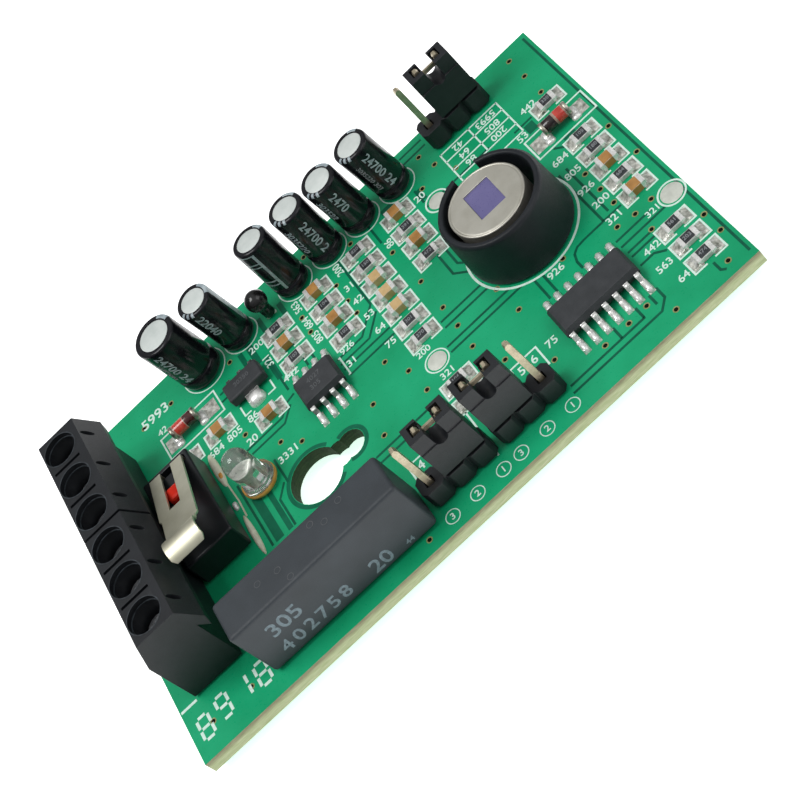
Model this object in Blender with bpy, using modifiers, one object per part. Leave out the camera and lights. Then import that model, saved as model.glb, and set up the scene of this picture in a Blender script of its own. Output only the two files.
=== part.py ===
"""A bare passive infrared (PIR) motion detector board, as it comes out of its housing.

Run it with blender --background --python part.py, or from Blender's text editor.
Lengths are in metres. The origin is the middle of the board's solder side, +Z points out of the
component side, +X runs along the board away from the screw terminals, and +Y towards the capacitors.
Places on the board are given as (u, v): u from the terminals' edge, v from the near long edge.
"""

import math

import bmesh
import bpy
from mathutils import Matrix, Vector

# Clearances
SEAT_GAP = 0.0003
SLIDE_GAP = 0.00015
BURY = 0.0002
OVERCUT = 0.001

# Board and keyhole
BOARD_LENGTH = 0.066
BOARD_WIDTH = 0.043
BOARD_THICKNESS = 0.0016
KEYHOLE_U = 0.023
KEYHOLE_V = 0.017
KEYHOLE_HEAD_RADIUS = 0.003
KEYHOLE_DRILL_RADIUS = 0.00155
KEYHOLE_DRILL_STEP = 0.0014
KEYHOLE_REACH = 0.0044
SOLDER_FOOT_RADIUS = 0.00085
SOLDER_TIP_RADIUS = 0.0004
SOLDER_HEIGHT = 0.0012

# Chip resistors and capacitors, soldered flat
CHIP_LENGTH = 0.002
CHIP_WIDTH = 0.00125
RESISTOR_HEIGHT = 0.0005
CAPACITOR_HEIGHT = 0.00085
FILLET_REACH = 0.0005
FILLET_HEIGHT = 0.00034
FILLET_TOE = 0.00006
CHIP_PITCH = 0.00254

# Screw terminals
WAY_PITCH = 0.005
WAYS_PER_HOUSING = 3
TERMINAL_U = 0.00225
TERMINAL_V = 0.00645
TERMINAL_DEPTH = 0.00595
TERMINAL_HEIGHT = 0.010
TERMINAL_SHOULDER = 0.0069
TERMINAL_FRONT_SETBACK = 0.00115
LIP_RIDGE = 0.0057
LIP_REACH = 0.0071
LIP_LEVEL = 0.0071
LIP_FOOT_REACH = 0.0068
LIP_FOOT_LEVEL = 0.0057
SCREW_SETBACK = 0.00315
WELL_RADIUS = 0.0019
WELL_DEPTH = 0.0038
NECK_RADIUS = 0.0012
SCREW_HEAD_RADIUS = 0.00165
SCREW_HEAD_HEIGHT = 0.0010
SCREW_SLOT_WIDTH = 0.0005
SCREW_SLOT_DEPTH = 0.0006
SCREW_SHANK_RADIUS = 0.00085
CHAMBER_WIDTH = 0.0038
CHAMBER_DEPTH = 0.00545
CHAMBER_FLOOR = 0.0009
CHAMBER_HEIGHT = 0.0049
CAGE_WALL = 0.0006
CAGE_PLATE = 0.0007
CAGE_DEPTH = 0.0026
CAGE_HEIGHT = 0.0037
CONTACT_WIDTH = 0.0016
CONTACT_THICKNESS = 0.0005
CONTACT_LEVEL = 0.0030
RIB_SLOT_WIDTH = 0.00035
RIB_SLOT_LENGTH = 0.0033
RIB_SLOT_DEPTH = 0.0006
EYE_LENGTH = 0.0017
EYE_WIDTH = 0.00065
EYE_DEPTH = 0.0005

# Tamper switch
SWITCH_U = 0.0115
SWITCH_V = 0.02245
SWITCH_WIDTH = 0.0058
SWITCH_LENGTH = 0.0128
SWITCH_HEIGHT = 0.00365
PLUNGER_WIDTH = 0.0020
PLUNGER_LENGTH = 0.0017
PLUNGER_RISE = 0.0012
PLUNGER_DEPTH = 0.0014
PLUNGER_TRAVEL = 0.0011
PLUNGER_FROM_PIVOT = 0.0039
PIVOT_FROM_END = 0.0010
PIVOT_RISE = 0.0003
LEVER_ASIDE = 0.0002
LEVER_WIDTH = 0.0042
LEVER_THICKNESS = 0.0003
LEVER_SLOT_WIDTH = 0.0014
LEVER_SLOT_LENGTH = 0.0075
LEVER_REACH = 0.0129
LEVER_STEP_REACH = 0.0086
LEVER_STEP = 0.00025
LEVER_NECK = 0.0006
HUMP_WIDTH = 0.0039
LEVER_ANGLE = math.radians(18.5)
LEVER_HOOK = 0.0011
HUMP_RADIUS = 0.0017
HUMP_START = 19
HUMP_END = 152

# Light-emitting diode
LED_U = 0.0182
LED_V = 0.0214
LED_RADIUS = 0.0015
LED_FLANGE_RADIUS = 0.00195
LED_FLANGE_HEIGHT = 0.0009
LED_HEIGHT = 0.0056

# Alarm relay
RELAY_U = 0.0102
RELAY_V = 0.0019
RELAY_LENGTH = 0.0198
RELAY_WIDTH = 0.0048
RELAY_HEIGHT = 0.0074
RELAY_EDGE = 0.0004
RELAY_PIN_STEP = 0.00508

# Electrolytic capacitors and thermistor, in a row along the far edge
CAPACITOR_FROM_EDGE = 0.0036
CAPACITOR_HEIGHT_OVER_BOARD = 0.0078
CAPACITOR_RADIUS = 0.002
LARGE_CAPACITOR_RADIUS = 0.0025
CAPACITOR_LEAD_STEP = 0.0015
CAPACITOR_BEAD_DEPTH = 0.00013
THERMISTOR_U = 0.0283
THERMISTOR_FROM_EDGE = 0.0046
THERMISTOR_HEIGHT = 0.0039
THERMISTOR_RADIUS = 0.0012

# Infrared sensor in its rubber holder
SENSOR_U = 0.0523
SENSOR_V = 0.02194
SENSOR_HEIGHT = 0.00605
SENSOR_RADIUS = 0.0041
SENSOR_FLANGE_RADIUS = 0.00435
SENSOR_LEAN = 0.00025
WINDOW_WIDTH = 0.00265
WINDOW_LENGTH = 0.00365
WINDOW_THICKNESS = 0.0003
WINDOW_ASIDE = 0.0003
HOLDER_BORE_RADIUS = 0.0048
HOLDER_TOP_RADIUS = 0.0056
HOLDER_FOOT_RADIUS = 0.0059
HOLDER_HEIGHT = 0.0061
HOLDER_NOTCH_WIDTH = 0.0026
HOLDER_NOTCH_DEPTH = 0.0025

# Pin headers and jumpers
PIN_PITCH = 0.00254
PIN_WIDTH = 0.00064
PIN_TOP = 0.0085
HEADER_DEPTH = 0.0025
HEADER_HEIGHT = 0.0025
HEADER_CHAMFER = 0.00045
HEADER_END = 1.15
JUMPER_WIDTH = 0.00475
JUMPER_DEPTH = 0.0024
JUMPER_TOP = 0.0083
JUMPER_GAP = 0.0014
JUMPER_GAP_DEPTH = 0.0016
JUMPER_STEP = 0.00012
JUMPER_STEP_DEPTH = 0.0019
CLIP_THICKNESS = 0.00025
CLIP_BAR = 0.0005
CLIP_LEG = 0.0006

# Small-outline circuits
IC_PITCH = 0.00127
IC_WIDTH = 0.0039
IC_SPAN = 0.0060
IC_STANDOFF = 0.0001
IC_HEIGHT = 0.00125
IC_END = 0.0005
IC_INSET = 0.0003
LEG_WIDTH = 0.00055
LEG_THICKNESS = 0.00022
SOLDER_TOE = 0.00085
REGULATOR_U = 0.0223
REGULATOR_V = 0.0326
REGULATOR_LENGTH = 0.0045
REGULATOR_WIDTH = 0.0025
REGULATOR_HEIGHT = 0.0015
REGULATOR_TAB_WIDTH = 0.0017
REGULATOR_TAB_REACH = 0.0011

# Glass diodes
DIODE_LENGTH = 0.0034
DIODE_RADIUS = 0.0007
DIODE_CAP_LENGTH = 0.0004
DIODE_CAP_RADIUS = 0.00076

# What sits where. A chip column is u, the v of its top chip, and its kinds from there down.
CHIP_COLUMNS = (
    (0.0278, 0.0360, "RCR"),
    (0.0333, 0.0360, "CRCR"),
    (0.0390, 0.0360, "RRCCCRR"),
    (0.0390, 0.0132, "RR"),
    (0.0445, 0.0360, "CRCR"),
)
EDGE_COLUMN_FROM_END = 0.00335
EDGE_COLUMNS = ((0.0326, "R"), (0.0257, "RRCRC"), (0.0090, "RRR"))
LONE_CHIPS = (("C", 0.0173, 0.0309), ("R", 0.0128, 0.0309), ("C", 0.0226, 0.0275))
# name, u, radius, and how far the top leans along u and v
CAPACITOR_PLACES = (
    ("capacitor_1", 0.0192, LARGE_CAPACITOR_RADIUS, (-0.0004, 0.0001)),
    ("capacitor_2", 0.0244, CAPACITOR_RADIUS, (-0.0003, -0.0002)),
    ("capacitor_3", 0.0321, CAPACITOR_RADIUS, (0.0001, 0.0005)),
    ("capacitor_4", 0.0369, CAPACITOR_RADIUS, (0.0001, 0.00015)),
    ("capacitor_5", 0.0415, CAPACITOR_RADIUS, (-0.00025, -0.0002)),
    ("capacitor_6", 0.04635, CAPACITOR_RADIUS, (-0.0005, 0.00025)),
)
# name, u of the first pin, v of the row, and which pair of pins the jumper bridges
HEADER_PLACES = (
    ("alarm", 0.03178, 0.0043, 1),
    ("led", 0.03998, 0.0043, 0),
    ("pulse", 0.05285, 0.0398, 1),
)
IC_PLACES = (("amplifier", 0.02848, 0.0250, 4), ("microcontroller", 0.05337, 0.00884, 7))
DIODE_PLACES = (("diode_1", 0.0148, 0.0344), ("diode_2", 0.06195, 0.0290))

COLOURS = {
    "solder_mask_green": ((0.02, 0.30, 0.14), 0.45, 0.0),
    "terminal_black": ((0.035, 0.038, 0.042), 0.5, 0.0),
    "zinc": ((0.62, 0.62, 0.60), 0.35, 1.0),
    "tinned_brass": ((0.66, 0.58, 0.40), 0.35, 1.0),
    "nickel": ((0.60, 0.58, 0.50), 0.4, 1.0),
    "gold": ((0.78, 0.66, 0.42), 0.35, 1.0),
    "switch_black": ((0.02, 0.02, 0.025), 0.4, 0.0),
    "red": ((0.65, 0.04, 0.02), 0.4, 0.0),
    "clear_resin": ((0.85, 0.85, 0.80), 0.1, 0.0),
    "relay_grey": ((0.06, 0.07, 0.08), 0.55, 0.0),
    "sleeve_black": ((0.012, 0.012, 0.014), 0.3, 0.0),
    "bead_black": ((0.012, 0.012, 0.012), 0.2, 0.0),
    "can_metal": ((0.62, 0.60, 0.54), 0.45, 1.0),
    "window_violet": ((0.18, 0.14, 0.36), 0.25, 0.0),
    "holder_rubber": ((0.02, 0.023, 0.027), 0.7, 0.0),
    "header_black": ((0.025, 0.027, 0.03), 0.55, 0.0),
    "circuit_black": ((0.035, 0.037, 0.04), 0.6, 0.0),
    "glass": ((0.55, 0.10, 0.04), 0.1, 0.0),
}

LONG_U = BOARD_LENGTH / 2
MID_V = BOARD_WIDTH / 2

# Plane of an outline: its own x and y become these world axes, and it is extruded along the third
ALONG_X = Matrix(((0, 0, 1), (1, 0, 0), (0, 1, 0))).to_4x4()
ALONG_Y = Matrix(((1, 0, 0), (0, 0, -1), (0, 1, 0))).to_4x4()
ALONG_Z = Matrix.Identity(4)


def at(u, v, height=0.0):
    """The world point over the board place (u, v), at this height over the component side."""
    return Vector((u - LONG_U, v - MID_V, BOARD_THICKNESS + height))


def clear_scene():
    for obj in list(bpy.data.objects):
        bpy.data.objects.remove(obj)


def new_collection(name, shown=True):
    collection = bpy.data.collections.new(name)
    collection.hide_render = not shown
    bpy.context.scene.collection.children.link(collection)
    return collection


clear_scene()
PARTS = new_collection("pir_motion_detector_board")
CUTTERS = new_collection("cutters", shown=False)
FUSED = new_collection("soldered_to_the_board", shown=False)


def material(name):
    found = bpy.data.materials.get(name)
    if found:
        return found
    colour, roughness, metallic = COLOURS[name]
    made = bpy.data.materials.new(name)
    made.use_nodes = True
    shader = made.node_tree.nodes["Principled BSDF"]
    shader.inputs["Base Color"].default_value = (*colour, 1.0)
    shader.inputs["Roughness"].default_value = roughness
    shader.inputs["Metallic"].default_value = metallic
    return made


def add(name, mesh, collection, finish=None, place=None):
    """An object for this mesh. A helper is drawn as wire and left out of a render."""
    obj = bpy.data.objects.new(name, mesh)
    collection.objects.link(obj)
    if finish and not mesh.materials:
        mesh.materials.append(material(finish))
    if place is not None:
        obj.location = place
    if collection is not PARTS:
        obj.hide_render = True
        obj.display_type = "WIRE"
    return obj


def mesh_of(name, build, smooth=False):
    """A mesh made by calling build on an empty bmesh."""
    shape = bmesh.new()
    build(shape)
    mesh = bpy.data.meshes.new(name)
    shape.to_mesh(mesh)
    shape.free()
    if smooth:
        mesh.shade_smooth()
        mesh.set_sharp_from_angle(angle=math.radians(35))
    return mesh


def box_mesh(name, low, high):
    low, high = Vector(low), Vector(high)
    size = high - low
    frame = Matrix.Translation((low + high) / 2) @ Matrix.Diagonal((*size, 1.0))
    return mesh_of(name, lambda shape: bmesh.ops.create_cube(shape, size=1.0, matrix=frame))


def cylinder_mesh(name, radius, low, high, sides, top_radius=None, turn=Matrix.Identity(4)):
    """A cylinder or cone about Z from low to high, then turned."""
    frame = turn @ Matrix.Translation((0, 0, (low + high) / 2))
    upper = radius if top_radius is None else top_radius

    def build(shape):
        bmesh.ops.create_cone(
            shape, cap_ends=True, segments=sides, radius1=radius, radius2=upper,
            depth=high - low, matrix=frame,
        )

    return mesh_of(name, build, smooth=True)


def evaluated_mesh(obj):
    """The object's shape with its modifiers applied, as a mesh of its own. The object is removed."""
    bpy.context.view_layer.update()
    graph = bpy.context.evaluated_depsgraph_get()
    mesh = bpy.data.meshes.new_from_object(obj.evaluated_get(graph))
    bpy.data.objects.remove(obj)
    return mesh


def plate_mesh(name, outline, thickness, plane=ALONG_Z):
    """A flat outline extruded by half its thickness to each side of its plane."""
    curve = bpy.data.curves.new(name, "CURVE")
    curve.dimensions = "2D"
    curve.fill_mode = "BOTH"
    curve.extrude = thickness / 2
    spline = curve.splines.new("POLY")
    spline.points.add(len(outline) - 1)
    for point, (x, y) in zip(spline.points, outline):
        point.co = (x, y, 0, 1)
    spline.use_cyclic_u = True
    mesh = evaluated_mesh(add(name, curve, PARTS))
    shape = bmesh.new()
    shape.from_mesh(mesh)
    bmesh.ops.remove_doubles(shape, verts=shape.verts, dist=1e-7)
    bmesh.ops.recalc_face_normals(shape, faces=shape.faces)
    shape.to_mesh(mesh)
    shape.free()
    mesh.shade_flat()
    mesh.transform(plane)
    return mesh


def turned_mesh(name, profile, steps, closed=False):
    """A profile of (radius, height) pairs, running down its outer side, turned about Z."""
    outline = bpy.data.meshes.new(name)
    edges = [(i, i + 1) for i in range(len(profile) - 1)]
    if closed:
        edges.append((len(profile) - 1, 0))
    outline.from_pydata([(radius, 0, height) for radius, height in profile], edges, [])
    obj = add(name, outline, PARTS)
    screw = obj.modifiers.new("turn", "SCREW")
    screw.steps = screw.render_steps = steps
    screw.use_merge_vertices = True
    screw.merge_threshold = 1e-6
    mesh = evaluated_mesh(obj)
    mesh.shade_smooth()
    mesh.set_sharp_from_angle(angle=math.radians(35))
    return mesh


def arc(centre_x, centre_y, radius, start, end, count):
    """Points along an arc, its angles in degrees."""
    return [
        (
            centre_x + radius * math.cos(math.radians(start + (end - start) * i / count)),
            centre_y + radius * math.sin(math.radians(start + (end - start) * i / count)),
        )
        for i in range(count + 1)
    ]


def boolean(obj, mesh, operation, place=(0, 0, 0), turn=None):
    """Cuts the mesh from the object, or joins it on, at a place in the object's own space."""
    other = add(f"{obj.name}_{operation.lower()}", mesh, CUTTERS)
    other.matrix_world = obj.matrix_basis @ Matrix.Translation(place) @ (turn or ALONG_Z)
    step = obj.modifiers.new(operation.lower(), "BOOLEAN")
    step.operation = operation
    step.solver = "EXACT"
    step.object = other


def cut(obj, mesh, place=(0, 0, 0), turn=None):
    boolean(obj, mesh, "DIFFERENCE", place, turn)


def join(obj, mesh, place=(0, 0, 0), turn=None):
    boolean(obj, mesh, "UNION", place, turn)


def bevel(obj, width, segments=1):
    edge = obj.modifiers.new("edges", "BEVEL")
    edge.width = width
    edge.segments = segments
    edge.limit_method = "ANGLE"


# Solder joints are part of the board, and every leaded piece asks for its own
SOLDER_MESH = cylinder_mesh(
    "solder_joint", SOLDER_TIP_RADIUS, -SOLDER_HEIGHT, BURY, 8, top_radius=SOLDER_FOOT_RADIUS
)


def solder_joint(u, v):
    add("solder_joint", SOLDER_MESH, FUSED, place=at(u, v, -BOARD_THICKNESS))


def chip_mesh(name, height):
    """A chip and its two solder fillets, as one section along the chip, buried a little in the board."""
    end = CHIP_LENGTH / 2
    toe = end + FILLET_REACH
    outline = [
        (-toe, -BURY), (toe, -BURY), (toe, FILLET_TOE), (end, FILLET_HEIGHT),
        (end, height), (-end, height), (-end, FILLET_HEIGHT), (-toe, FILLET_TOE),
    ]
    return plate_mesh(name, outline, CHIP_WIDTH, ALONG_Y)


def make_chips():
    """The chips go past the file limit, so the board carries them in one piece."""
    meshes = {
        "R": chip_mesh("chip_resistor", RESISTOR_HEIGHT),
        "C": chip_mesh("chip_capacitor", CAPACITOR_HEIGHT),
    }
    places = list(LONE_CHIPS)
    edge_u = BOARD_LENGTH - EDGE_COLUMN_FROM_END
    for u, top, kinds in (*CHIP_COLUMNS, *((edge_u, top, kinds) for top, kinds in EDGE_COLUMNS)):
        for row, kind in enumerate(kinds):
            places.append((kind, u, top - row * CHIP_PITCH))
    for kind, u, v in places:
        add("chip", meshes[kind], FUSED, place=at(u, v))


def make_board():
    low = at(0, 0, -BOARD_THICKNESS)
    board = add("circuit_board", box_mesh("circuit_board", low, at(BOARD_LENGTH, BOARD_WIDTH)), PARTS,
                "solder_mask_green")
    bottom = -BOARD_THICKNESS - OVERCUT
    head = cylinder_mesh("keyhole_head", KEYHOLE_HEAD_RADIUS, bottom, OVERCUT, 32)
    cut(board, head, at(KEYHOLE_U, KEYHOLE_V))
    # The narrow end is a chain of drilled holes
    for step in range(3):
        drill = cylinder_mesh("keyhole_drill", KEYHOLE_DRILL_RADIUS, bottom, OVERCUT, 20)
        reach = KEYHOLE_REACH - step * KEYHOLE_DRILL_STEP
        cut(board, drill, at(KEYHOLE_U + reach, KEYHOLE_V))
    soldered = board.modifiers.new("soldered", "BOOLEAN")
    soldered.operation = "UNION"
    soldered.operand_type = "COLLECTION"
    soldered.collection = FUSED


# Heights inside the terminals, over the board
HOUSING_LENGTH = WAYS_PER_HOUSING * WAY_PITCH - SEAT_GAP
SCREW_U = TERMINAL_U + SCREW_SETBACK
LEDGE = TERMINAL_HEIGHT - WELL_DEPTH
CHAMBER_TOP = CHAMBER_FLOOR + CHAMBER_HEIGHT
CAGE_FLOOR = CHAMBER_FLOOR + SEAT_GAP
CAGE_TOP = CAGE_FLOOR + CAGE_HEIGHT
CAGE_WIDTH = CHAMBER_WIDTH - 2 * SLIDE_GAP
CONTACT_TOP = CONTACT_LEVEL + CONTACT_THICKNESS


def housing_mesh():
    """The housing's section: a sloping lip hangs over its back wall, and its front edge is cut off."""
    outline = [
        (0, SEAT_GAP), (TERMINAL_DEPTH, SEAT_GAP), (TERMINAL_DEPTH, TERMINAL_SHOULDER),
        (LIP_FOOT_REACH, LIP_FOOT_LEVEL), (LIP_REACH, LIP_LEVEL), (LIP_RIDGE, TERMINAL_HEIGHT),
        (TERMINAL_FRONT_SETBACK, TERMINAL_HEIGHT), (0, TERMINAL_SHOULDER),
    ]
    return plate_mesh("terminal_housing", outline, HOUSING_LENGTH, ALONG_Y)


def make_housing(name, first_v):
    place = at(TERMINAL_U, first_v + WAY_PITCH)
    housing = add(name, housing_mesh(), PARTS, "terminal_black", place)
    well = cylinder_mesh("screw_well", WELL_RADIUS, LEDGE, TERMINAL_HEIGHT + OVERCUT, 20)
    neck = cylinder_mesh("screw_neck", NECK_RADIUS, CHAMBER_TOP - BURY, LEDGE + BURY, 16)
    half = CHAMBER_WIDTH / 2
    chamber = box_mesh(
        "wire_chamber", (-OVERCUT, -half, CHAMBER_FLOOR), (CHAMBER_DEPTH, half, CHAMBER_TOP)
    )
    pin_hole = box_mesh(
        "pin_hole",
        (CHAMBER_DEPTH - CONTACT_THICKNESS - 2 * SEAT_GAP, -CONTACT_WIDTH / 2 - SLIDE_GAP, -OVERCUT),
        (CHAMBER_DEPTH, CONTACT_WIDTH / 2 + SLIDE_GAP, CHAMBER_FLOOR + BURY),
    )
    slope = math.atan2(TERMINAL_HEIGHT - LIP_LEVEL, LIP_REACH - LIP_RIDGE)
    stretch = Matrix.Diagonal((EYE_LENGTH / EYE_WIDTH, 1, 1, 1))
    eye = cylinder_mesh("eye", EYE_WIDTH / 2, -EYE_DEPTH, OVERCUT, 10, turn=stretch)
    tilt = Matrix.Rotation(slope, 4, "Y")
    eye_run = (EYE_LENGTH / 2 + SLIDE_GAP) * math.cos(slope)
    eye_drop = (EYE_LENGTH / 2 + SLIDE_GAP) * math.sin(slope)
    for way in range(WAYS_PER_HOUSING):
        y = (way - 1) * WAY_PITCH
        cut(housing, chamber, (0, y, 0))
        cut(housing, well, (SCREW_SETBACK, y, 0))
        cut(housing, neck, (SCREW_SETBACK, y, 0))
        cut(housing, pin_hole, (0, y, 0))
        cut(housing, eye, (LIP_RIDGE + eye_run, y, TERMINAL_HEIGHT - eye_drop), tilt)
    rib_slot = box_mesh(
        "rib_slot",
        (-RIB_SLOT_LENGTH / 2, -RIB_SLOT_WIDTH / 2, TERMINAL_HEIGHT - RIB_SLOT_DEPTH),
        (RIB_SLOT_LENGTH / 2, RIB_SLOT_WIDTH / 2, TERMINAL_HEIGHT + OVERCUT),
    )
    for side in (-0.5, 0.5):
        cut(housing, rib_slot, (SCREW_SETBACK, side * WAY_PITCH, 0))


def screw_mesh():
    """Head and shank as one turned piece, about its own axis, with heights over the board."""
    head = LEDGE + SEAT_GAP
    top = head + SCREW_HEAD_HEIGHT
    tip = CONTACT_TOP + SEAT_GAP
    edge = SLIDE_GAP
    profile = [
        (0, top), (SCREW_HEAD_RADIUS - edge, top), (SCREW_HEAD_RADIUS, top - edge),
        (SCREW_HEAD_RADIUS, head), (SCREW_SHANK_RADIUS, head), (SCREW_SHANK_RADIUS, tip), (0, tip),
    ]
    return turned_mesh("terminal_screw", profile, 16)


def cage_mesh():
    """The clamp: a frame open to the wire, with the screw's threaded hole in its top plate."""
    half = CAGE_WIDTH / 2
    inner = half - CAGE_WALL
    outline = [(-half, CAGE_FLOOR), (half, CAGE_FLOOR), (half, CAGE_TOP), (-half, CAGE_TOP)]
    return plate_mesh("clamp_cage", outline, CAGE_DEPTH, ALONG_X), box_mesh(
        "cage_window",
        (-CAGE_DEPTH, -inner, CAGE_FLOOR + CAGE_WALL),
        (CAGE_DEPTH, inner, CAGE_TOP - CAGE_PLATE),
    )


def contact_mesh():
    """The strip that the wire is clamped against, bent down into its solder pin."""
    back = CHAMBER_DEPTH - SCREW_SETBACK - SEAT_GAP
    front = -CAGE_DEPTH / 2 - SEAT_GAP
    inner = back - CONTACT_THICKNESS
    outline = [
        (front, CONTACT_LEVEL), (inner, CONTACT_LEVEL), (inner, SEAT_GAP), (back, SEAT_GAP),
        (back, CONTACT_TOP), (front, CONTACT_TOP),
    ]
    return plate_mesh("terminal_contact", outline, CONTACT_WIDTH, ALONG_Y)


def make_terminals():
    screw = screw_mesh()
    slot = box_mesh(
        "driver_slot",
        (-SCREW_HEAD_RADIUS - OVERCUT, -SCREW_SLOT_WIDTH / 2,
         LEDGE + SEAT_GAP + SCREW_HEAD_HEIGHT - SCREW_SLOT_DEPTH),
        (SCREW_HEAD_RADIUS + OVERCUT, SCREW_SLOT_WIDTH / 2, TERMINAL_HEIGHT + OVERCUT),
    )
    cage, window = cage_mesh()
    thread_hole = cylinder_mesh(
        "thread_hole", SCREW_SHANK_RADIUS + SLIDE_GAP, CAGE_TOP - CAGE_PLATE - BURY, CAGE_TOP + OVERCUT, 16
    )
    contact = contact_mesh()
    first = TERMINAL_V + WAY_PITCH / 2
    for block in range(2):
        make_housing(f"terminal_housing_{block + 1}", first + block * WAYS_PER_HOUSING * WAY_PITCH)
    for way in range(2 * WAYS_PER_HOUSING):
        v = first + way * WAY_PITCH
        place = at(SCREW_U, v)
        driven = add(f"terminal_screw_{way + 1}", screw, PARTS, "zinc", place)
        cut(driven, slot)
        clamp = add(f"clamp_cage_{way + 1}", cage, PARTS, "zinc", place)
        cut(clamp, window)
        cut(clamp, thread_hole)
        add(f"terminal_contact_{way + 1}", contact, PARTS, "tinned_brass", place)
        solder_joint(TERMINAL_U + CHAMBER_DEPTH - SEAT_GAP - CONTACT_THICKNESS / 2, v)


# Pivot of the switch's lever, which the record's hinge repeats
PIVOT_V = SWITCH_V + SWITCH_LENGTH / 2 - PIVOT_FROM_END
PIVOT_HEIGHT = SWITCH_HEIGHT + PIVOT_RISE
PLUNGER_V = PIVOT_V - PLUNGER_FROM_PIVOT


def lever_path():
    """(y, z, left, right) along the lever: its hook, the stepped blade and the humped end."""
    left, right = -LEVER_WIDTH / 2, LEVER_WIDTH / 2
    stepped = left + LEVER_STEP
    narrow = left + HUMP_WIDTH
    run, rise = math.cos(LEVER_ANGLE), math.sin(LEVER_ANGLE)
    path = [(0, -LEVER_HOOK, left, right)]
    neck = LEVER_REACH - LEVER_NECK
    for reach, near, far in (
        (0, left, right), (LEVER_STEP_REACH, left, right), (LEVER_STEP_REACH + LEVER_STEP, stepped, right),
        (neck - LEVER_STEP, stepped, right), (neck, stepped, narrow),
    ):
        path.append((-reach * run, reach * rise, near, far))
    start = math.radians(HUMP_START)
    centre_y = -LEVER_REACH * run - HUMP_RADIUS * math.cos(start)
    centre_z = LEVER_REACH * rise - HUMP_RADIUS * math.sin(start)
    hump = arc(centre_y, centre_z, HUMP_RADIUS, HUMP_START, HUMP_END, 8)
    for index, (y, z) in enumerate(hump):
        inset = {0: SLIDE_GAP, len(hump) - 1: LEVER_THICKNESS}.get(index, 0)
        path.append((y, z, left + inset, narrow - inset))
    return path


def make_switch():
    half_u, half_v = SWITCH_WIDTH / 2, SWITCH_LENGTH / 2
    lever_u = SWITCH_U + LEVER_ASIDE
    body = add(
        "switch_body",
        box_mesh("switch_body", (-half_u, -half_v, SEAT_GAP), (half_u, half_v, SWITCH_HEIGHT)),
        PARTS, "switch_black", at(SWITCH_U, SWITCH_V),
    )
    bevel(body, SLIDE_GAP)
    plunger_y = PLUNGER_V - SWITCH_V
    hole = box_mesh(
        "plunger_hole",
        (-PLUNGER_WIDTH / 2 - SLIDE_GAP, -PLUNGER_LENGTH / 2 - SLIDE_GAP,
         SWITCH_HEIGHT - PLUNGER_DEPTH - PLUNGER_TRAVEL - SLIDE_GAP),
        (PLUNGER_WIDTH / 2 + SLIDE_GAP, PLUNGER_LENGTH / 2 + SLIDE_GAP, SWITCH_HEIGHT + OVERCUT),
    )
    cut(body, hole, (LEVER_ASIDE, plunger_y, 0))
    hook_room = LEVER_THICKNESS / 2 + 2 * SLIDE_GAP
    hook_slot = box_mesh(
        "hook_slot",
        (-LEVER_WIDTH / 2 - SLIDE_GAP, -hook_room, PIVOT_HEIGHT - LEVER_HOOK - SEAT_GAP),
        (LEVER_WIDTH / 2 + SLIDE_GAP, hook_room, SWITCH_HEIGHT + OVERCUT),
    )
    cut(body, hook_slot, (LEVER_ASIDE, PIVOT_V - SWITCH_V, 0))

    half_x, half_y = PLUNGER_WIDTH / 2, PLUNGER_LENGTH / 2
    plunger = add(
        "switch_plunger",
        box_mesh("switch_plunger", (-half_x, -half_y, SWITCH_HEIGHT - PLUNGER_DEPTH),
                 (half_x, half_y, SWITCH_HEIGHT + PLUNGER_RISE)),
        PARTS, "red", at(lever_u, PLUNGER_V),
    )
    bevel(plunger, PLUNGER_LENGTH / 5, 2)

    def build(shape):
        previous = None
        for y, z, left, right in lever_path():
            pair = [shape.verts.new((x, y, z)) for x in (left, right)]
            if previous:
                shape.faces.new((previous[0], previous[1], pair[1], pair[0]))
            previous = pair
    lever = add("switch_lever", mesh_of("switch_lever", build, smooth=True), PARTS, "nickel",
                at(lever_u, PIVOT_V, PIVOT_HEIGHT))
    sheet = lever.modifiers.new("sheet", "SOLIDIFY")
    sheet.thickness = LEVER_THICKNESS
    sheet.offset = 0
    sheet.use_even_offset = True
    fork = box_mesh(
        "fork_slot",
        (-LEVER_SLOT_WIDTH / 2, -LEVER_SLOT_LENGTH, -LEVER_HOOK - OVERCUT),
        (LEVER_SLOT_WIDTH / 2, OVERCUT, LEVER_REACH),
    )
    cut(lever, fork)
    for end in (-1, 0, 1):
        solder_joint(SWITCH_U, SWITCH_V + end * WAY_PITCH)


def make_led():
    dome = LED_HEIGHT - LED_RADIUS
    flange_top = SEAT_GAP + LED_FLANGE_HEIGHT
    profile = [(r, z) for r, z in reversed(arc(0, dome, LED_RADIUS, 0, 90, 5))]
    profile += [
        (LED_RADIUS, flange_top), (LED_FLANGE_RADIUS, flange_top), (LED_FLANGE_RADIUS, SEAT_GAP),
        (0, SEAT_GAP),
    ]
    led = add("led", turned_mesh("led", profile, 20), PARTS, "clear_resin", at(LED_U, LED_V))
    flat = box_mesh(
        "flange_flat",
        (-LED_FLANGE_RADIUS - OVERCUT, -LED_FLANGE_RADIUS, -OVERCUT),
        (-LED_RADIUS - SLIDE_GAP, LED_FLANGE_RADIUS, flange_top + OVERCUT),
    )
    cut(led, flat)
    for side in (-0.5, 0.5):
        solder_joint(LED_U + side * PIN_PITCH, LED_V)


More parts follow.
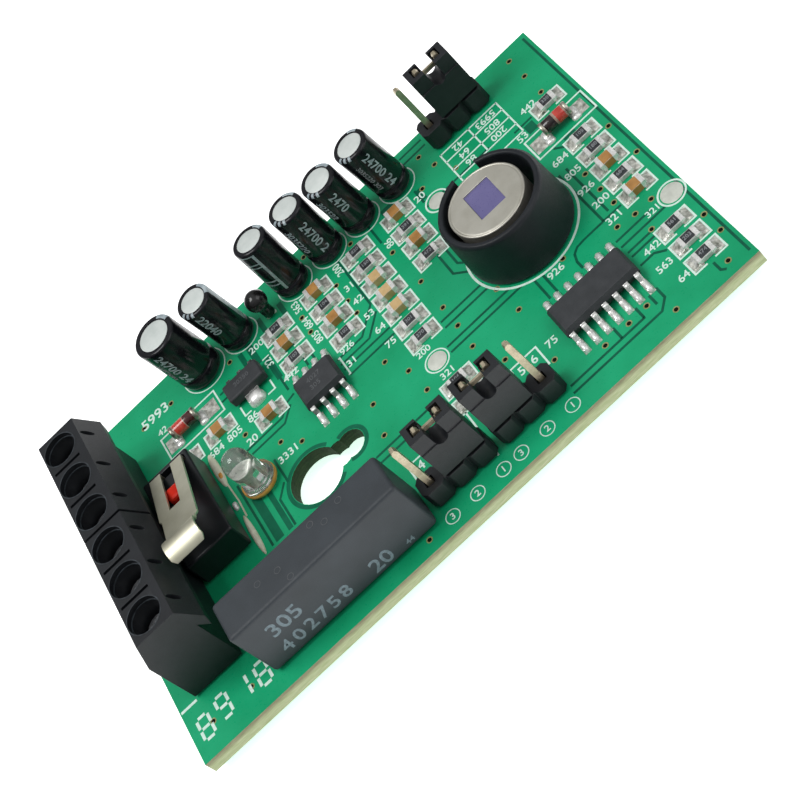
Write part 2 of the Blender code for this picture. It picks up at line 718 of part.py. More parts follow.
def make_relay():
    relay = add(
        "relay",
        box_mesh("relay", (0, 0, SEAT_GAP), (RELAY_LENGTH, RELAY_WIDTH, RELAY_HEIGHT)),
        PARTS, "relay_grey", at(RELAY_U, RELAY_V),
    )
    bevel(relay, RELAY_EDGE, 2)
    mid = RELAY_WIDTH / 2
    pins = (RELAY_LENGTH / 2 - 1.5 * RELAY_PIN_STEP, RELAY_LENGTH / 2 - 0.5 * RELAY_PIN_STEP,
            RELAY_LENGTH / 2 + 0.5 * RELAY_PIN_STEP, RELAY_LENGTH / 2 + 1.5 * RELAY_PIN_STEP)
    for run in pins:
        solder_joint(RELAY_U + run, RELAY_V + mid)


def capacitor_profile(radius):
    """The sleeve's rolled top edge, its side with the crimped bead, and the rubber bung's end."""
    top = CAPACITOR_HEIGHT_OVER_BOARD
    roll = radius / 6
    rim = radius - 2 * roll
    bead = 2 * SEAT_GAP + radius / 2
    return [
        (0, top - roll / 4), (rim, top - roll / 4), (rim + roll / 3, top), (radius - roll / 2, top),
        (radius, top - roll), (radius, bead + roll), (radius - CAPACITOR_BEAD_DEPTH, bead),
        (radius, bead - roll), (radius, 2 * SEAT_GAP), (radius - roll, SEAT_GAP), (0, SEAT_GAP),
    ]


def make_capacitors():
    v = BOARD_WIDTH - CAPACITOR_FROM_EDGE
    for name, u, radius, (lean_u, lean_v) in CAPACITOR_PLACES:
        can = add(name, turned_mesh(name, capacitor_profile(radius), 16), PARTS, "sleeve_black", at(u, v))
        height = CAPACITOR_HEIGHT_OVER_BOARD
        can.rotation_euler = (-math.atan(lean_v / height), math.atan(lean_u / height), 0)
        for side in (-0.5, 0.5):
            solder_joint(u + side * CAPACITOR_LEAD_STEP, v)


def make_thermistor():
    """A dipped bead on its leads, drawn down to a neck at the board."""
    centre = THERMISTOR_HEIGHT - THERMISTOR_RADIUS
    bead = list(reversed(arc(0, centre, THERMISTOR_RADIUS, -30, 90, 5)))
    neck = THERMISTOR_RADIUS * 0.55
    profile = [*bead, (neck, SEAT_GAP + neck), (neck, SEAT_GAP), (0, SEAT_GAP)]
    v = BOARD_WIDTH - THERMISTOR_FROM_EDGE
    add("thermistor", turned_mesh("thermistor", profile, 12), PARTS, "bead_black", at(THERMISTOR_U, v))
    solder_joint(THERMISTOR_U, v)


def make_sensor():
    edge = SENSOR_RADIUS / 10
    foot = 2 * SEAT_GAP
    can_profile = [
        (0, SENSOR_HEIGHT), (SENSOR_RADIUS - edge, SENSOR_HEIGHT),
        (SENSOR_RADIUS - edge * 0.3, SENSOR_HEIGHT - edge * 0.3), (SENSOR_RADIUS, SENSOR_HEIGHT - edge),
        (SENSOR_RADIUS, foot + edge), (SENSOR_FLANGE_RADIUS, foot + edge), (SENSOR_FLANGE_RADIUS, foot),
        (0, foot),
    ]
    place = at(SENSOR_U - SENSOR_LEAN, SENSOR_V)
    can = add("sensor_can", turned_mesh("sensor_can", can_profile, 32), PARTS, "can_metal", place)
    half_x, half_y = WINDOW_WIDTH / 2, WINDOW_LENGTH / 2
    floor = SENSOR_HEIGHT - WINDOW_THICKNESS - 2 * SLIDE_GAP
    pocket = box_mesh(
        "window_pocket",
        (-half_x - SLIDE_GAP, -half_y - SLIDE_GAP, floor),
        (half_x + SLIDE_GAP, half_y + SLIDE_GAP, SENSOR_HEIGHT + OVERCUT),
    )
    cut(can, pocket, (0, WINDOW_ASIDE, 0))
    low = floor + SLIDE_GAP
    add("sensor_window",
        box_mesh("sensor_window", (-half_x, -half_y, low), (half_x, half_y, low + WINDOW_THICKNESS)),
        PARTS, "window_violet", place + Vector((0, WINDOW_ASIDE, 0)))

    wall = HOLDER_TOP_RADIUS - HOLDER_BORE_RADIUS
    holder_profile = [
        (HOLDER_BORE_RADIUS + wall * 0.2, HOLDER_HEIGHT), (HOLDER_TOP_RADIUS - wall * 0.35, HOLDER_HEIGHT),
        (HOLDER_TOP_RADIUS, HOLDER_HEIGHT - wall * 0.5), (HOLDER_FOOT_RADIUS, SEAT_GAP),
        (HOLDER_BORE_RADIUS, SEAT_GAP), (HOLDER_BORE_RADIUS, HOLDER_HEIGHT - wall * 0.3),
    ]
    holder = add("sensor_holder", turned_mesh("sensor_holder", holder_profile, 40, closed=True), PARTS,
                 "holder_rubber", at(SENSOR_U, SENSOR_V))
    notch = box_mesh(
        "holder_notch",
        (-HOLDER_NOTCH_WIDTH / 2, 0, HOLDER_HEIGHT - HOLDER_NOTCH_DEPTH),
        (HOLDER_NOTCH_WIDTH / 2, HOLDER_FOOT_RADIUS + OVERCUT, HOLDER_HEIGHT + OVERCUT),
    )
    cut(holder, notch)
    lead_circle = SENSOR_RADIUS * 0.62
    for angle in (45, 135, 270):
        turn = math.radians(angle)
        solder_joint(SENSOR_U + lead_circle * math.cos(turn), SENSOR_V + lead_circle * math.sin(turn))


def header_outline(pins):
    """Octagonal segments in a row, one for each pin, from the first pin's axis."""
    half, chamfer = HEADER_DEPTH / 2, HEADER_CHAMFER
    near = []
    for pin in range(pins):
        left = (pin - 0.5) * PIN_PITCH
        notch = chamfer if pin else chamfer * HEADER_END
        near += [(left, -half + notch), (left + chamfer, -half), (left + PIN_PITCH - chamfer, -half)]
    near.append(((pins - 0.5) * PIN_PITCH, -half + chamfer * HEADER_END))
    far = [(x, -y) for x, y in reversed(near)]
    return near + far


def pin_mesh():
    half, taper = PIN_WIDTH / 2, PIN_WIDTH / 2
    outline = [
        (-half, SEAT_GAP), (half, SEAT_GAP), (half, PIN_TOP - taper), (half / 2, PIN_TOP),
        (-half / 2, PIN_TOP), (-half, PIN_TOP - taper),
    ]
    return plate_mesh("header_pin", outline, PIN_WIDTH, ALONG_Y)


# The jumper's pin sockets, and the slot for its clip behind them
SOCKET_HALF = PIN_WIDTH / 2 + SLIDE_GAP
CLIP_Y = SOCKET_HALF + CLIP_THICKNESS / 2
CLIP_TOP = JUMPER_TOP - JUMPER_GAP_DEPTH + CLIP_BAR + SLIDE_GAP
JUMPER_FOOT = HEADER_HEIGHT + SEAT_GAP


def make_jumper(name, place):
    """A tall open-top jumper: two towers round the pins, and a clip that bridges the gap between."""
    half_x, half_y = JUMPER_WIDTH / 2, JUMPER_DEPTH / 2
    jumper = add(
        f"{name}_jumper",
        box_mesh("jumper", (-half_x, -half_y, JUMPER_FOOT), (half_x, half_y, JUMPER_TOP)),
        PARTS, "header_black", place,
    )
    edge = JUMPER_TOP - JUMPER_STEP_DEPTH
    step = box_mesh(
        "jumper_step", (-half_x - OVERCUT, -half_y - OVERCUT, edge),
        (half_x + OVERCUT, -half_y + JUMPER_STEP, JUMPER_TOP + OVERCUT),
    )
    cut(jumper, step)
    gap_half = JUMPER_GAP / 2
    bottom = JUMPER_TOP - JUMPER_GAP_DEPTH
    gap = plate_mesh(
        "jumper_gap",
        [*arc(0, bottom, gap_half, 180, 360, 10),
         (gap_half, JUMPER_TOP + OVERCUT), (-gap_half, JUMPER_TOP + OVERCUT)],
        JUMPER_DEPTH + 2 * OVERCUT, ALONG_Y,
    )
    cut(jumper, gap)
    clip_back = CLIP_Y + CLIP_THICKNESS / 2 + SLIDE_GAP
    for side in (-1, 1):
        axis = side * PIN_PITCH / 2
        socket = box_mesh(
            "pin_socket",
            (axis - SOCKET_HALF, -SOCKET_HALF, JUMPER_FOOT - OVERCUT),
            (axis + SOCKET_HALF, clip_back, JUMPER_TOP + OVERCUT),
        )
        cut(jumper, socket)
    bar_slot = box_mesh(
        "bar_slot",
        (-PIN_PITCH / 2, CLIP_Y - CLIP_THICKNESS / 2 - SLIDE_GAP, CLIP_TOP - CLIP_BAR - SLIDE_GAP),
        (PIN_PITCH / 2, clip_back - BURY / 4, JUMPER_TOP + OVERCUT),
    )
    cut(jumper, bar_slot)
    reach = PIN_PITCH / 2 + CLIP_LEG / 2
    leg_low = JUMPER_FOOT + 2 * SEAT_GAP
    bar_low = CLIP_TOP - CLIP_BAR
    inner = reach - CLIP_LEG
    outline = [
        (-reach, leg_low), (-inner, leg_low), (-inner, bar_low), (inner, bar_low), (inner, leg_low),
        (reach, leg_low), (reach, CLIP_TOP), (-reach, CLIP_TOP),
    ]
    clip = plate_mesh("jumper_clip", outline, CLIP_THICKNESS, ALONG_Y)
    clip_place = place + Vector((0, CLIP_Y, 0))
    add(f"{name}_clip", clip, PARTS, "gold", clip_place)


def make_headers():
    pins = 3
    pin = pin_mesh()
    base = plate_mesh("header_base", header_outline(pins), HEADER_HEIGHT - SEAT_GAP)
    base.transform(Matrix.Translation((0, 0, (HEADER_HEIGHT + SEAT_GAP) / 2)))
    hole = box_mesh(
        "pin_hole", (-SOCKET_HALF, -SOCKET_HALF, -OVERCUT),
        (SOCKET_HALF, SOCKET_HALF, HEADER_HEIGHT + OVERCUT),
    )
    for name, u, v, bridged in HEADER_PLACES:
        header = add(f"{name}_header", base, PARTS, "header_black", at(u, v))
        for index in range(pins):
            cut(header, hole, (index * PIN_PITCH, 0, 0))
            add(f"{name}_pin_{index + 1}", pin, PARTS, "gold", at(u + index * PIN_PITCH, v))
            solder_joint(u + index * PIN_PITCH, v)
        make_jumper(name, at(u + (bridged + 0.5) * PIN_PITCH, v))


def layered_mesh(name, layers):
    """A block from (half length, half width, height) layers, bottom first."""
    def build(shape):
        rings = []
        for half_x, half_y, z in layers:
            corners = ((-half_x, -half_y), (half_x, -half_y), (half_x, half_y), (-half_x, half_y))
            rings.append([shape.verts.new((x, y, z)) for x, y in corners])
        shape.faces.new(reversed(rings[0]))
        shape.faces.new(rings[-1])
        for low, high in zip(rings, rings[1:]):
            for i in range(4):
                j = (i + 1) % 4
                shape.faces.new((low[i], low[j], high[j], high[i]))

    return mesh_of(name, build)


def leg_outline(side):
    """A gull-wing leg's section from inside the body out to its foot and solder toe, on one side."""
    level = IC_STANDOFF + IC_HEIGHT / 2
    inner = IC_WIDTH / 2 - BURY
    shoulder = IC_WIDTH / 2 + LEG_THICKNESS
    foot = IC_SPAN / 2
    half = LEG_THICKNESS / 2
    points = [
        (inner, level - half), (shoulder, level - half), (shoulder + LEG_THICKNESS, 0),
        (foot + SOLDER_TOE, 0), (foot + SOLDER_TOE, LEG_THICKNESS / 3), (foot, LEG_THICKNESS),
        (shoulder + 2 * LEG_THICKNESS, LEG_THICKNESS), (shoulder + LEG_THICKNESS, level + half),
        (inner, level + half),
    ]
    return [(side * y, z) for y, z in points]


def make_circuits():
    for name, u, v, per_side in IC_PLACES:
        half_u = (per_side - 1) * IC_PITCH / 2 + IC_END
        half_v = IC_WIDTH / 2
        lower = IC_INSET / 2
        layers = [
            (half_u - lower, half_v - lower, IC_STANDOFF),
            (half_u, half_v, IC_STANDOFF + IC_HEIGHT / 2),
            (half_u - IC_INSET, half_v - IC_INSET, IC_STANDOFF + IC_HEIGHT),
        ]
        body = add(name, layered_mesh(name, layers), PARTS, "circuit_black", at(u, v, SEAT_GAP))
        for side in (-1, 1):
            leg = plate_mesh("leg", leg_outline(side), LEG_WIDTH, ALONG_X)
            for index in range(per_side):
                join(body, leg, ((index - (per_side - 1) / 2) * IC_PITCH, 0, 0))


def make_regulator():
    """A small power package, its wide tab towards the near edge and three legs behind."""
    half_u, half_v = REGULATOR_LENGTH / 2, REGULATOR_WIDTH / 2
    body = add(
        "regulator",
        box_mesh("regulator", (-half_u, -half_v, SEAT_GAP), (half_u, half_v, REGULATOR_HEIGHT)),
        PARTS, "circuit_black", at(REGULATOR_U, REGULATOR_V),
    )
    bevel(body, SLIDE_GAP)
    half_tab = REGULATOR_TAB_WIDTH / 2
    sheet = REGULATOR_HEIGHT / 4
    tab = box_mesh(
        "regulator_tab", (-half_tab, -half_v - REGULATOR_TAB_REACH, SEAT_GAP),
        (half_tab, -half_v + BURY, SEAT_GAP + sheet),
    )
    join(body, tab)
    leg = box_mesh(
        "regulator_leg", (-LEG_WIDTH / 2, half_v - BURY, SEAT_GAP),
        (LEG_WIDTH / 2, half_v + REGULATOR_TAB_REACH, SEAT_GAP + sheet),
    )
    for side in (-1, 0, 1):
        join(body, leg, (side * half_u * 0.66, 0, 0))


def make_diodes():
    """A glass barrel between two metal end caps, lying along the board."""
    cap, half = DIODE_CAP_LENGTH, DIODE_LENGTH / 2
    profile = [
        (0, half), (DIODE_CAP_RADIUS, half), (DIODE_CAP_RADIUS, half - cap), (DIODE_RADIUS, half - cap),
        (DIODE_RADIUS, cap - half), (DIODE_CAP_RADIUS, cap - half), (DIODE_CAP_RADIUS, -half), (0, -half),
    ]
    lying = Matrix.Rotation(math.radians(90), 4, "Y")
    for name, u, v in DIODE_PLACES:
        diode = turned_mesh(name, profile, 16)
        diode.transform(lying)
        add(name, diode, PARTS, "glass", at(u, v, SEAT_GAP + DIODE_CAP_RADIUS))


make_chips()
make_terminals()
make_switch()
make_led()
make_relay()
make_capacitors()
make_thermistor()
make_sensor()
make_headers()
make_circuits()
make_regulator()
make_diodes()
make_board()
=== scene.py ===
"""Looks for the bare PIR motion detector board: finishes for its CAD nodes, and the solder, silk print,
pads, chips and other small things that the CAD leaves out, with the floor, lights and camera.

Places on the board are (u, v) in millimetres, from the terminals' edge and from the near long edge,
and heights are in millimetres over the component side. MM turns them into the frame's metres.
"""

import itertools
import math
import random

import bmesh
import bpy
from mathutils import Euler, Matrix, Vector


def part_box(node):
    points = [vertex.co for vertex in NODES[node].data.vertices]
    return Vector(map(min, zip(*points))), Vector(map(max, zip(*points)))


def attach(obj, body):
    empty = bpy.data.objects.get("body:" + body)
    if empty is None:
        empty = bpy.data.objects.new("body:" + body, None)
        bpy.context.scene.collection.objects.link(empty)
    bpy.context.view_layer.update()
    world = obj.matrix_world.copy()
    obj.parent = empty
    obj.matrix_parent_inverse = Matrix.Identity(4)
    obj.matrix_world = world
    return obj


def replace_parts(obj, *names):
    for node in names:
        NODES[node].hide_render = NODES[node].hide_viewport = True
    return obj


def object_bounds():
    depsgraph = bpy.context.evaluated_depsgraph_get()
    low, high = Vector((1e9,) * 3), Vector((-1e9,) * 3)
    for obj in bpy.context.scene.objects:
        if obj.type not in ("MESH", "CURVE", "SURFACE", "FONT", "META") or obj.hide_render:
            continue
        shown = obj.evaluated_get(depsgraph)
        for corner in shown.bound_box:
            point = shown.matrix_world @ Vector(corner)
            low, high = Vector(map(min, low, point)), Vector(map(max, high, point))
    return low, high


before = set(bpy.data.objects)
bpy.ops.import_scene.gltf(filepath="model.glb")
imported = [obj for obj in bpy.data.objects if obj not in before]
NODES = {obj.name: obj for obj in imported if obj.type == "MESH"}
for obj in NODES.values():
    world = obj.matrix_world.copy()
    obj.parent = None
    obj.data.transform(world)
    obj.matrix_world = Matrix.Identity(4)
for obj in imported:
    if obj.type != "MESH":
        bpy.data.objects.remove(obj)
CAD_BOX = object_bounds()
random.seed(7)

MM = 0.001
LENGTH, WIDTH, THICKNESS = 66.0, 43.0, 1.6
UNDER = -THICKNESS
BOARD = "board"

# Where the parts stand, as (u, v)
LED = (18.2, 21.4)
SWITCH = (11.5, 22.45)
SENSOR = (52.3, 21.94)
THERMISTOR = (28.3, 38.4)
RELAY = (20.1, 4.3)
REGULATOR = (22.3, 32.6)
AMPLIFIER = (28.48, 25.0)
MICROCONTROLLER = (53.37, 8.84)
DIODES = ((14.8, 34.4), (61.95, 29.0))
KEYHOLE, KEYHOLE_REACH = (25.3, 17.0), 7.0
HEADERS = ((31.78, 4.3), (39.98, 4.3), (52.85, 39.8))
CAPACITORS_U, CAPACITOR_V = (19.2, 24.4, 32.1, 36.9, 41.5, 46.35), 39.4
# Radius of each can, and how far its top leans along u and v
CANS = (
    (2.5, -0.4, 0.1), (2.0, -0.3, -0.2), (2.0, 0.1, 0.5), (2.0, 0.1, 0.15), (2.0, -0.25, -0.2),
    (2.0, -0.5, 0.25),
)
WELL_U, CONTACT_U, WAY_PITCH = 5.4, 7.15, 5.0
WAYS_V = [8.95 + WAY_PITCH * way for way in range(6)]

PIN_PITCH = 2.54
CIRCUIT_PITCH = 1.27
# The part of noise's range that most of it lies in
NOISE_LOW, NOISE_HIGH = 0.3, 0.7


def at(u, v, height=0.0):
    """The frame's point over the board place (u, v), all in millimetres."""
    return Vector(((u - LENGTH / 2) * MM, (v - WIDTH / 2) * MM, (THICKNESS + height) * MM))


# Shader helpers

FINISHES = {}


class Shader:
    """A node material being built around one Principled shader."""

    def __init__(self, name):
        self.name = name
        self.material = bpy.data.materials.new(name)
        self.material.use_nodes = True
        self.tree = self.material.node_tree
        self.principled = self.tree.nodes["Principled BSDF"]
        place = self.tree.nodes.new("ShaderNodeTexCoord")
        self.place = place.outputs["Object"]
        self.normal = place.outputs["Normal"]

    def node(self, kind, **settings):
        made = self.tree.nodes.new(kind)
        for key, value in settings.items():
            setattr(made, key, value)
        return made

    def link(self, source, target):
        self.tree.links.new(source, target)

    def set(self, **values):
        for key, value in values.items():
            self.principled.inputs[key.replace("_", " ")].default_value = value

    def noise(self, scale, detail=3.0, stretch=(1, 1, 1)):
        """Noise over the frame's metres; scale is in waves per millimetre."""
        mapping = self.node("ShaderNodeMapping")
        mapping.inputs["Scale"].default_value = [scale / MM * s for s in stretch]
        self.link(self.place, mapping.inputs["Vector"])
        noise = self.node("ShaderNodeTexNoise")
        noise.inputs["Scale"].default_value = 1.0
        noise.inputs["Detail"].default_value = detail
        noise.inputs["Roughness"].default_value = 0.55
        self.link(mapping.outputs[0], noise.inputs["Vector"])
        return noise.outputs["Fac"]

    def spread(self, value, low, high, start=NOISE_LOW, end=NOISE_HIGH):
        """A 0 to 1 value spread over low to high."""
        ranged = self.node("ShaderNodeMapRange")
        for key, number in zip(("From Min", "From Max", "To Min", "To Max"), (start, end, low, high)):
            ranged.inputs[key].default_value = number
        self.link(value, ranged.inputs["Value"])
        return ranged.outputs["Result"]

    def ramp(self, value, dark, light):
        """Colours from dark to light as the noise rises."""
        ramp = self.node("ShaderNodeValToRGB")
        first, last = ramp.color_ramp.elements
        first.position, last.position = NOISE_LOW, NOISE_HIGH
        first.color, last.color = (*dark, 1), (*light, 1)
        self.link(value, ramp.inputs["Fac"])
        return ramp.outputs["Color"]

    def mix(self, mask, first, second):
        """The first colour where the mask is 0 and the second where it is 1."""
        mixer = self.node("ShaderNodeMix", data_type="RGBA")
        self.link(mask, mixer.inputs["Factor"])
        for name, colour in (("A", first), ("B", second)):
            self.link(colour, next(s for s in mixer.inputs if s.name == name and s.type == "RGBA"))
        return next(s for s in mixer.outputs if s.type == "RGBA")

    def math(self, operation, first, second=0.0):
        made = self.node("ShaderNodeMath", operation=operation)
        for socket, value in zip(made.inputs, (first, second)):
            if isinstance(value, (int, float)):
                socket.default_value = value
            else:
                self.link(value, socket)
        return made.outputs[0]

    def axes(self, vector):
        split = self.node("ShaderNodeSeparateXYZ")
        self.link(vector, split.inputs[0])
        return split.outputs

    def finish(self, colour, roughness, relief, depth):
        """Joins colour, roughness and relief up; depth is the bump's height in millimetres."""
        self.link(colour, self.principled.inputs["Base Color"])
        self.link(roughness, self.principled.inputs["Roughness"])
        bump = self.node("ShaderNodeBump")
        bump.inputs["Distance"].default_value = depth * MM
        self.link(relief, bump.inputs["Height"])
        self.link(bump.outputs[0], self.principled.inputs["Normal"])
        FINISHES[self.name] = self.material


def surface(name, dark, light, rough, metal=0.0, scale=1.2, grain=9.0, depth=0.01, specular=0.5):
    """Mottled colour from dark to light, with fine grain in its roughness and relief."""
    shader = Shader(name)
    shader.set(Metallic=metal, Specular_IOR_Level=specular)
    colour = shader.ramp(shader.noise(scale, 4.0), dark, light)
    fine = shader.noise(grain)
    shader.finish(colour, shader.spread(fine, *rough), fine, depth)


def dress(finish, *names):
    """Gives these CAD nodes this finish."""
    material = FINISHES[finish]
    for name in names:
        node = NODES[name]
        if not node.material_slots:
            node.data.materials.append(material)
        for slot in node.material_slots:
            slot.link = "OBJECT"
            slot.material = material


# Mesh helpers


def placed(name, data):
    """A new object, linked into the scene."""
    obj = bpy.data.objects.new(name, data)
    bpy.context.scene.collection.objects.link(obj)
    return obj


def riding(name, shape, finish, smooth=None):
    """Turns a filled bmesh into a piece that rides on the board."""
    mesh = bpy.data.meshes.new(name)
    shape.to_mesh(mesh)
    shape.free()
    if smooth:
        mesh.shade_smooth()
        mesh.set_sharp_from_angle(angle=math.radians(smooth))
    mesh.materials.append(FINISHES[finish])
    obj = placed(name, mesh)
    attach(obj, BOARD)
    return obj


def piece(name, build, finish, smooth=None):
    """One piece from a function that fills a bmesh; smooth is the angle that stays sharp."""
    shape = bmesh.new()
    build(shape)
    bmesh.ops.recalc_face_normals(shape, faces=shape.faces)
    return riding(name, shape, finish, smooth)


def loft(shape, rings, closed=False):
    """Joins rings of points, each with as many points, into a skin with caps, or into a closed loop."""
    rows = [[shape.verts.new(point) for point in ring] for ring in rings]
    pairs = list(zip(rows, rows[1:]))
    if closed:
        pairs.append((rows[-1], rows[0]))
    else:
        shape.faces.new(reversed(rows[0]))
        shape.faces.new(rows[-1])
    for low, high in pairs:
        for i in range(len(low)):
            j = (i + 1) % len(low)
            shape.faces.new((low[i], low[j], high[j], high[i]))


def turned(shape, u, v, profile, sides, turn=None, flat=None):
    """A profile of (radius, height) turned about the upright line through (u, v)."""
    rings = []
    for radius, height in profile:
        ring = []
        for i in range(sides):
            angle = 2 * math.pi * i / sides
            along = radius * math.cos(angle)
            if flat:
                along = max(along, -flat)
            ring.append(at(u + along, v + radius * math.sin(angle), height))
        rings.append(ring)
    if turn:
        rings = [[turn @ point for point in ring] for ring in rings]
    loft(shape, rings)


def rectangle(u0, v0, u1, v1):
    return [(u0, v0), (u1, v0), (u1, v1), (u0, v1)]


def block(shape, low, high, edge=0.0):
    """A box from low to high (u, v, height), its upper edges cut by edge."""
    (u0, v0, h0), (u1, v1, h1) = low, high
    layers = [(0, h0), (0, h1 - edge), (edge, h1)] if edge else [(0, h0), (0, h1)]
    rings = []
    for inset, height in layers:
        corners = rectangle(u0 + inset, v0 + inset, u1 - inset, v1 - inset)
        rings.append([at(u, v, height) for u, v in corners])
    loft(shape, rings)


def ribbon(shape, points, width, height, base=0.0, closed=False):
    """A flat line of this width through the points, its corners mitred."""
    count = len(points)
    sides = []
    for i, (u, v) in enumerate(points):
        before = points[i - 1] if i or closed else None
        after = points[(i + 1) % count] if i < count - 1 or closed else None
        normals = []
        for start, end in ((before, (u, v)), ((u, v), after)):
            if start is None or end is None:
                continue
            du, dv = end[0] - start[0], end[1] - start[1]
            run = math.hypot(du, dv)
            normals.append((-dv / run, du / run))
        nu, nv = (sum(parts) / len(normals) for parts in zip(*normals))
        stretch = 1 / max(nu * nu + nv * nv, 0.25)
        sides.append((nu * stretch * width / 2, nv * stretch * width / 2))
    rings = []
    for (u, v), (du, dv) in zip(points, sides):
        rings.append([at(u - du, v - dv, base), at(u + du, v + dv, base),
                      at(u + du, v + dv, base + height), at(u - du, v - dv, base + height)])
    loft(shape, rings, closed=closed)


def circle(u, v, radius, count, start=0.0, sweep=360.0):
    """Points round a circle, or along an arc of sweep degrees."""
    steps = count if sweep == 360.0 else count + 1
    angles = [math.radians(start + sweep * i / count) for i in range(steps)]
    return [(u + radius * math.cos(a), v + radius * math.sin(a)) for a in angles]


def arc(radius, height, degrees):
    """Points of (radius, height) at these degrees round an arc that stands on the axis."""
    turns = [math.radians(turn) for turn in degrees]
    return [(radius * math.cos(turn), height + radius * math.sin(turn)) for turn in turns]


def hoop(shape, u, v, radius, height, out, up, count, *sweep):
    """A rounded ring about (u, v), out by up in half section, or a part of one."""
    rings = []
    for i in range(10):
        angle = 2 * math.pi * i / 10
        points = circle(u, v, radius + out * math.cos(angle), count, *sweep)
        rings.append([at(x, y, height + up * math.sin(angle)) for x, y in points])
    if sweep:
        loft(shape, zip(*rings))
    else:
        loft(shape, rings, closed=True)


def disc(shape, u, v, radius, low, high, sides):
    turned(shape, u, v, [(radius, low), (radius, high)], sides)


# Finishes

TIN_DARK, TIN_LIGHT = (0.68, 0.68, 0.65), (0.97, 0.96, 0.93)
PLASTIC = ((0.004, 0.005, 0.007), (0.009, 0.011, 0.014))
# Mottled finishes: dark, light, roughness, metal, scale, grain, depth of relief, specular level
SURFACES = {
    "solder": (TIN_DARK, TIN_LIGHT, (0.24, 0.42), 0.45, 1.5, 6.0, 0.02),
    # Pads and fillets: mottled tin whose near black patches are painted dark reflection.
    "tinned_pad_painted_reflection": ((0.2, 0.21, 0.17), (0.93, 0.92, 0.84), (0.28, 0.5), 0.5, 1.9, 5.0, 0.03),
    "test_pad": ((0.58, 0.6, 0.53), (0.72, 0.74, 0.66), (0.35, 0.5), 0.3, 1.0, 5.0, 0.01),
    "silk_print": ((0.56, 0.78, 0.67), (0.75, 0.9, 0.82), (0.5, 0.7), 0.0, 2.0, 12.0, 0.004),
    "clearance_line": ((0.0, 0.08, 0.043), (0.001, 0.118, 0.062), (0.4, 0.55), 0.0, 0.8, 8.0, 0.01, 0.2),
    "dark_field": ((0.0, 0.105, 0.052), (0.002, 0.155, 0.077), (0.35, 0.5), 0.0, 0.5, 8.0, 0.01, 0.2),
    "via_ring": ((0.15, 0.19, 0.05), (0.36, 0.34, 0.15), (0.3, 0.5), 0.0, 2.5, 8.0),
    # Discs in the via holes: near black, painted shade of the holes' insides.
    "via_hole_shade": ((0.002, 0.003, 0.001), (0.008, 0.008, 0.004), (0.7, 0.9), 0.0, 1.2, 9.0, 0.01, 0.1),
    "resistor_glaze": ((0.012, 0.014, 0.016), (0.045, 0.05, 0.054), (0.3, 0.45), 0.0, 2.0),
    "alumina": ((0.5, 0.52, 0.5), (0.7, 0.7, 0.66), (0.5, 0.7), 0.0, 2.0),
    "chip_capacitor_body": ((0.32, 0.15, 0.036), (0.5, 0.255, 0.075), (0.3, 0.45), 0.0, 0.9),
    "chip_capacitor_pale": ((0.52, 0.35, 0.15), (0.68, 0.48, 0.24), (0.3, 0.45), 0.0, 0.9),
    "number_print": ((0.16, 0.17, 0.18), (0.3, 0.31, 0.33), (0.5, 0.7), 0.0, 4.0),
    "can_top": ((0.6, 0.65, 0.62), (0.72, 0.76, 0.73), (0.4, 0.55), 0.25, 0.7, 10.0, 0.006),
    "sleeve_print": ((0.22, 0.27, 0.3), (0.46, 0.53, 0.55), (0.3, 0.45), 0.0, 1.5),
    "tinned_lead": ((0.66, 0.65, 0.6), (0.93, 0.92, 0.87), (0.25, 0.4), 0.4, 2.0),
    "switch_frame": ((0.52, 0.52, 0.38), (0.74, 0.72, 0.58), (0.3, 0.5), 0.0, 1.0),
    "worn_plastic": ((0.01, 0.013, 0.016), (0.05, 0.062, 0.072), (0.3, 0.5), 0.0, 2.0),
    "amber_rim": ((0.52, 0.2, 0.02), (0.86, 0.48, 0.12), (0.15, 0.3), 0.0, 1.0),
    "faint_print": ((0.05, 0.055, 0.06), (0.095, 0.1, 0.105), (0.5, 0.7), 0.0, 3.0),
    "relay_print": ((0.1, 0.14, 0.16), (0.19, 0.25, 0.28), (0.5, 0.7), 0.0, 3.0),
    "terminal_plastic": (*PLASTIC, (0.42, 0.56), 0.0, 0.5, 12.0, 0.012, 0.4),
    "switch_plastic": (*PLASTIC, (0.3, 0.42), 0.0, 0.5, 10.0),
    "relay_plastic": ((0.021, 0.027, 0.033), (0.032, 0.04, 0.048), (0.5, 0.65), 0.0, 0.3, 10.0),
    "header_plastic": (*PLASTIC, (0.4, 0.56), 0.0, 0.6, 11.0, 0.01, 0.45),
    "capacitor_sleeve": ((0.004, 0.004, 0.006), (0.01, 0.01, 0.013), (0.14, 0.26), 0.0, 0.5, 1.2, 0.02,
                         0.32),
    "thermistor_bead": ((0.005, 0.005, 0.005), (0.014, 0.013, 0.013), (0.1, 0.22), 0.0, 0.7, 2.0, 0.03),
    "holder_rubber": ((0.004, 0.006, 0.009), (0.009, 0.012, 0.016), (0.42, 0.56), 0.0, 0.3, 6.0, 0.012, 0.4),
    "sensor_can_metal": ((0.5, 0.48, 0.41), (0.64, 0.62, 0.55), (0.42, 0.56), 0.9, 0.35, 9.0, 0.006),
    "zinc_plate": ((0.45, 0.47, 0.5), (0.72, 0.73, 0.74), (0.25, 0.42), 1.0, 1.2, 7.0),
    "tinned_brass": ((0.52, 0.46, 0.32), (0.74, 0.68, 0.5), (0.25, 0.42), 1.0, 1.2, 7.0),
    "pale_gold": ((0.42, 0.36, 0.25), (0.62, 0.54, 0.39), (0.32, 0.48), 0.8, 1.5, 7.0),
    "plunger_red": ((0.5, 0.012, 0.003), (0.66, 0.026, 0.008), (0.45, 0.6), 0.0, 0.7, 9.0, 0.01, 0.15),
}


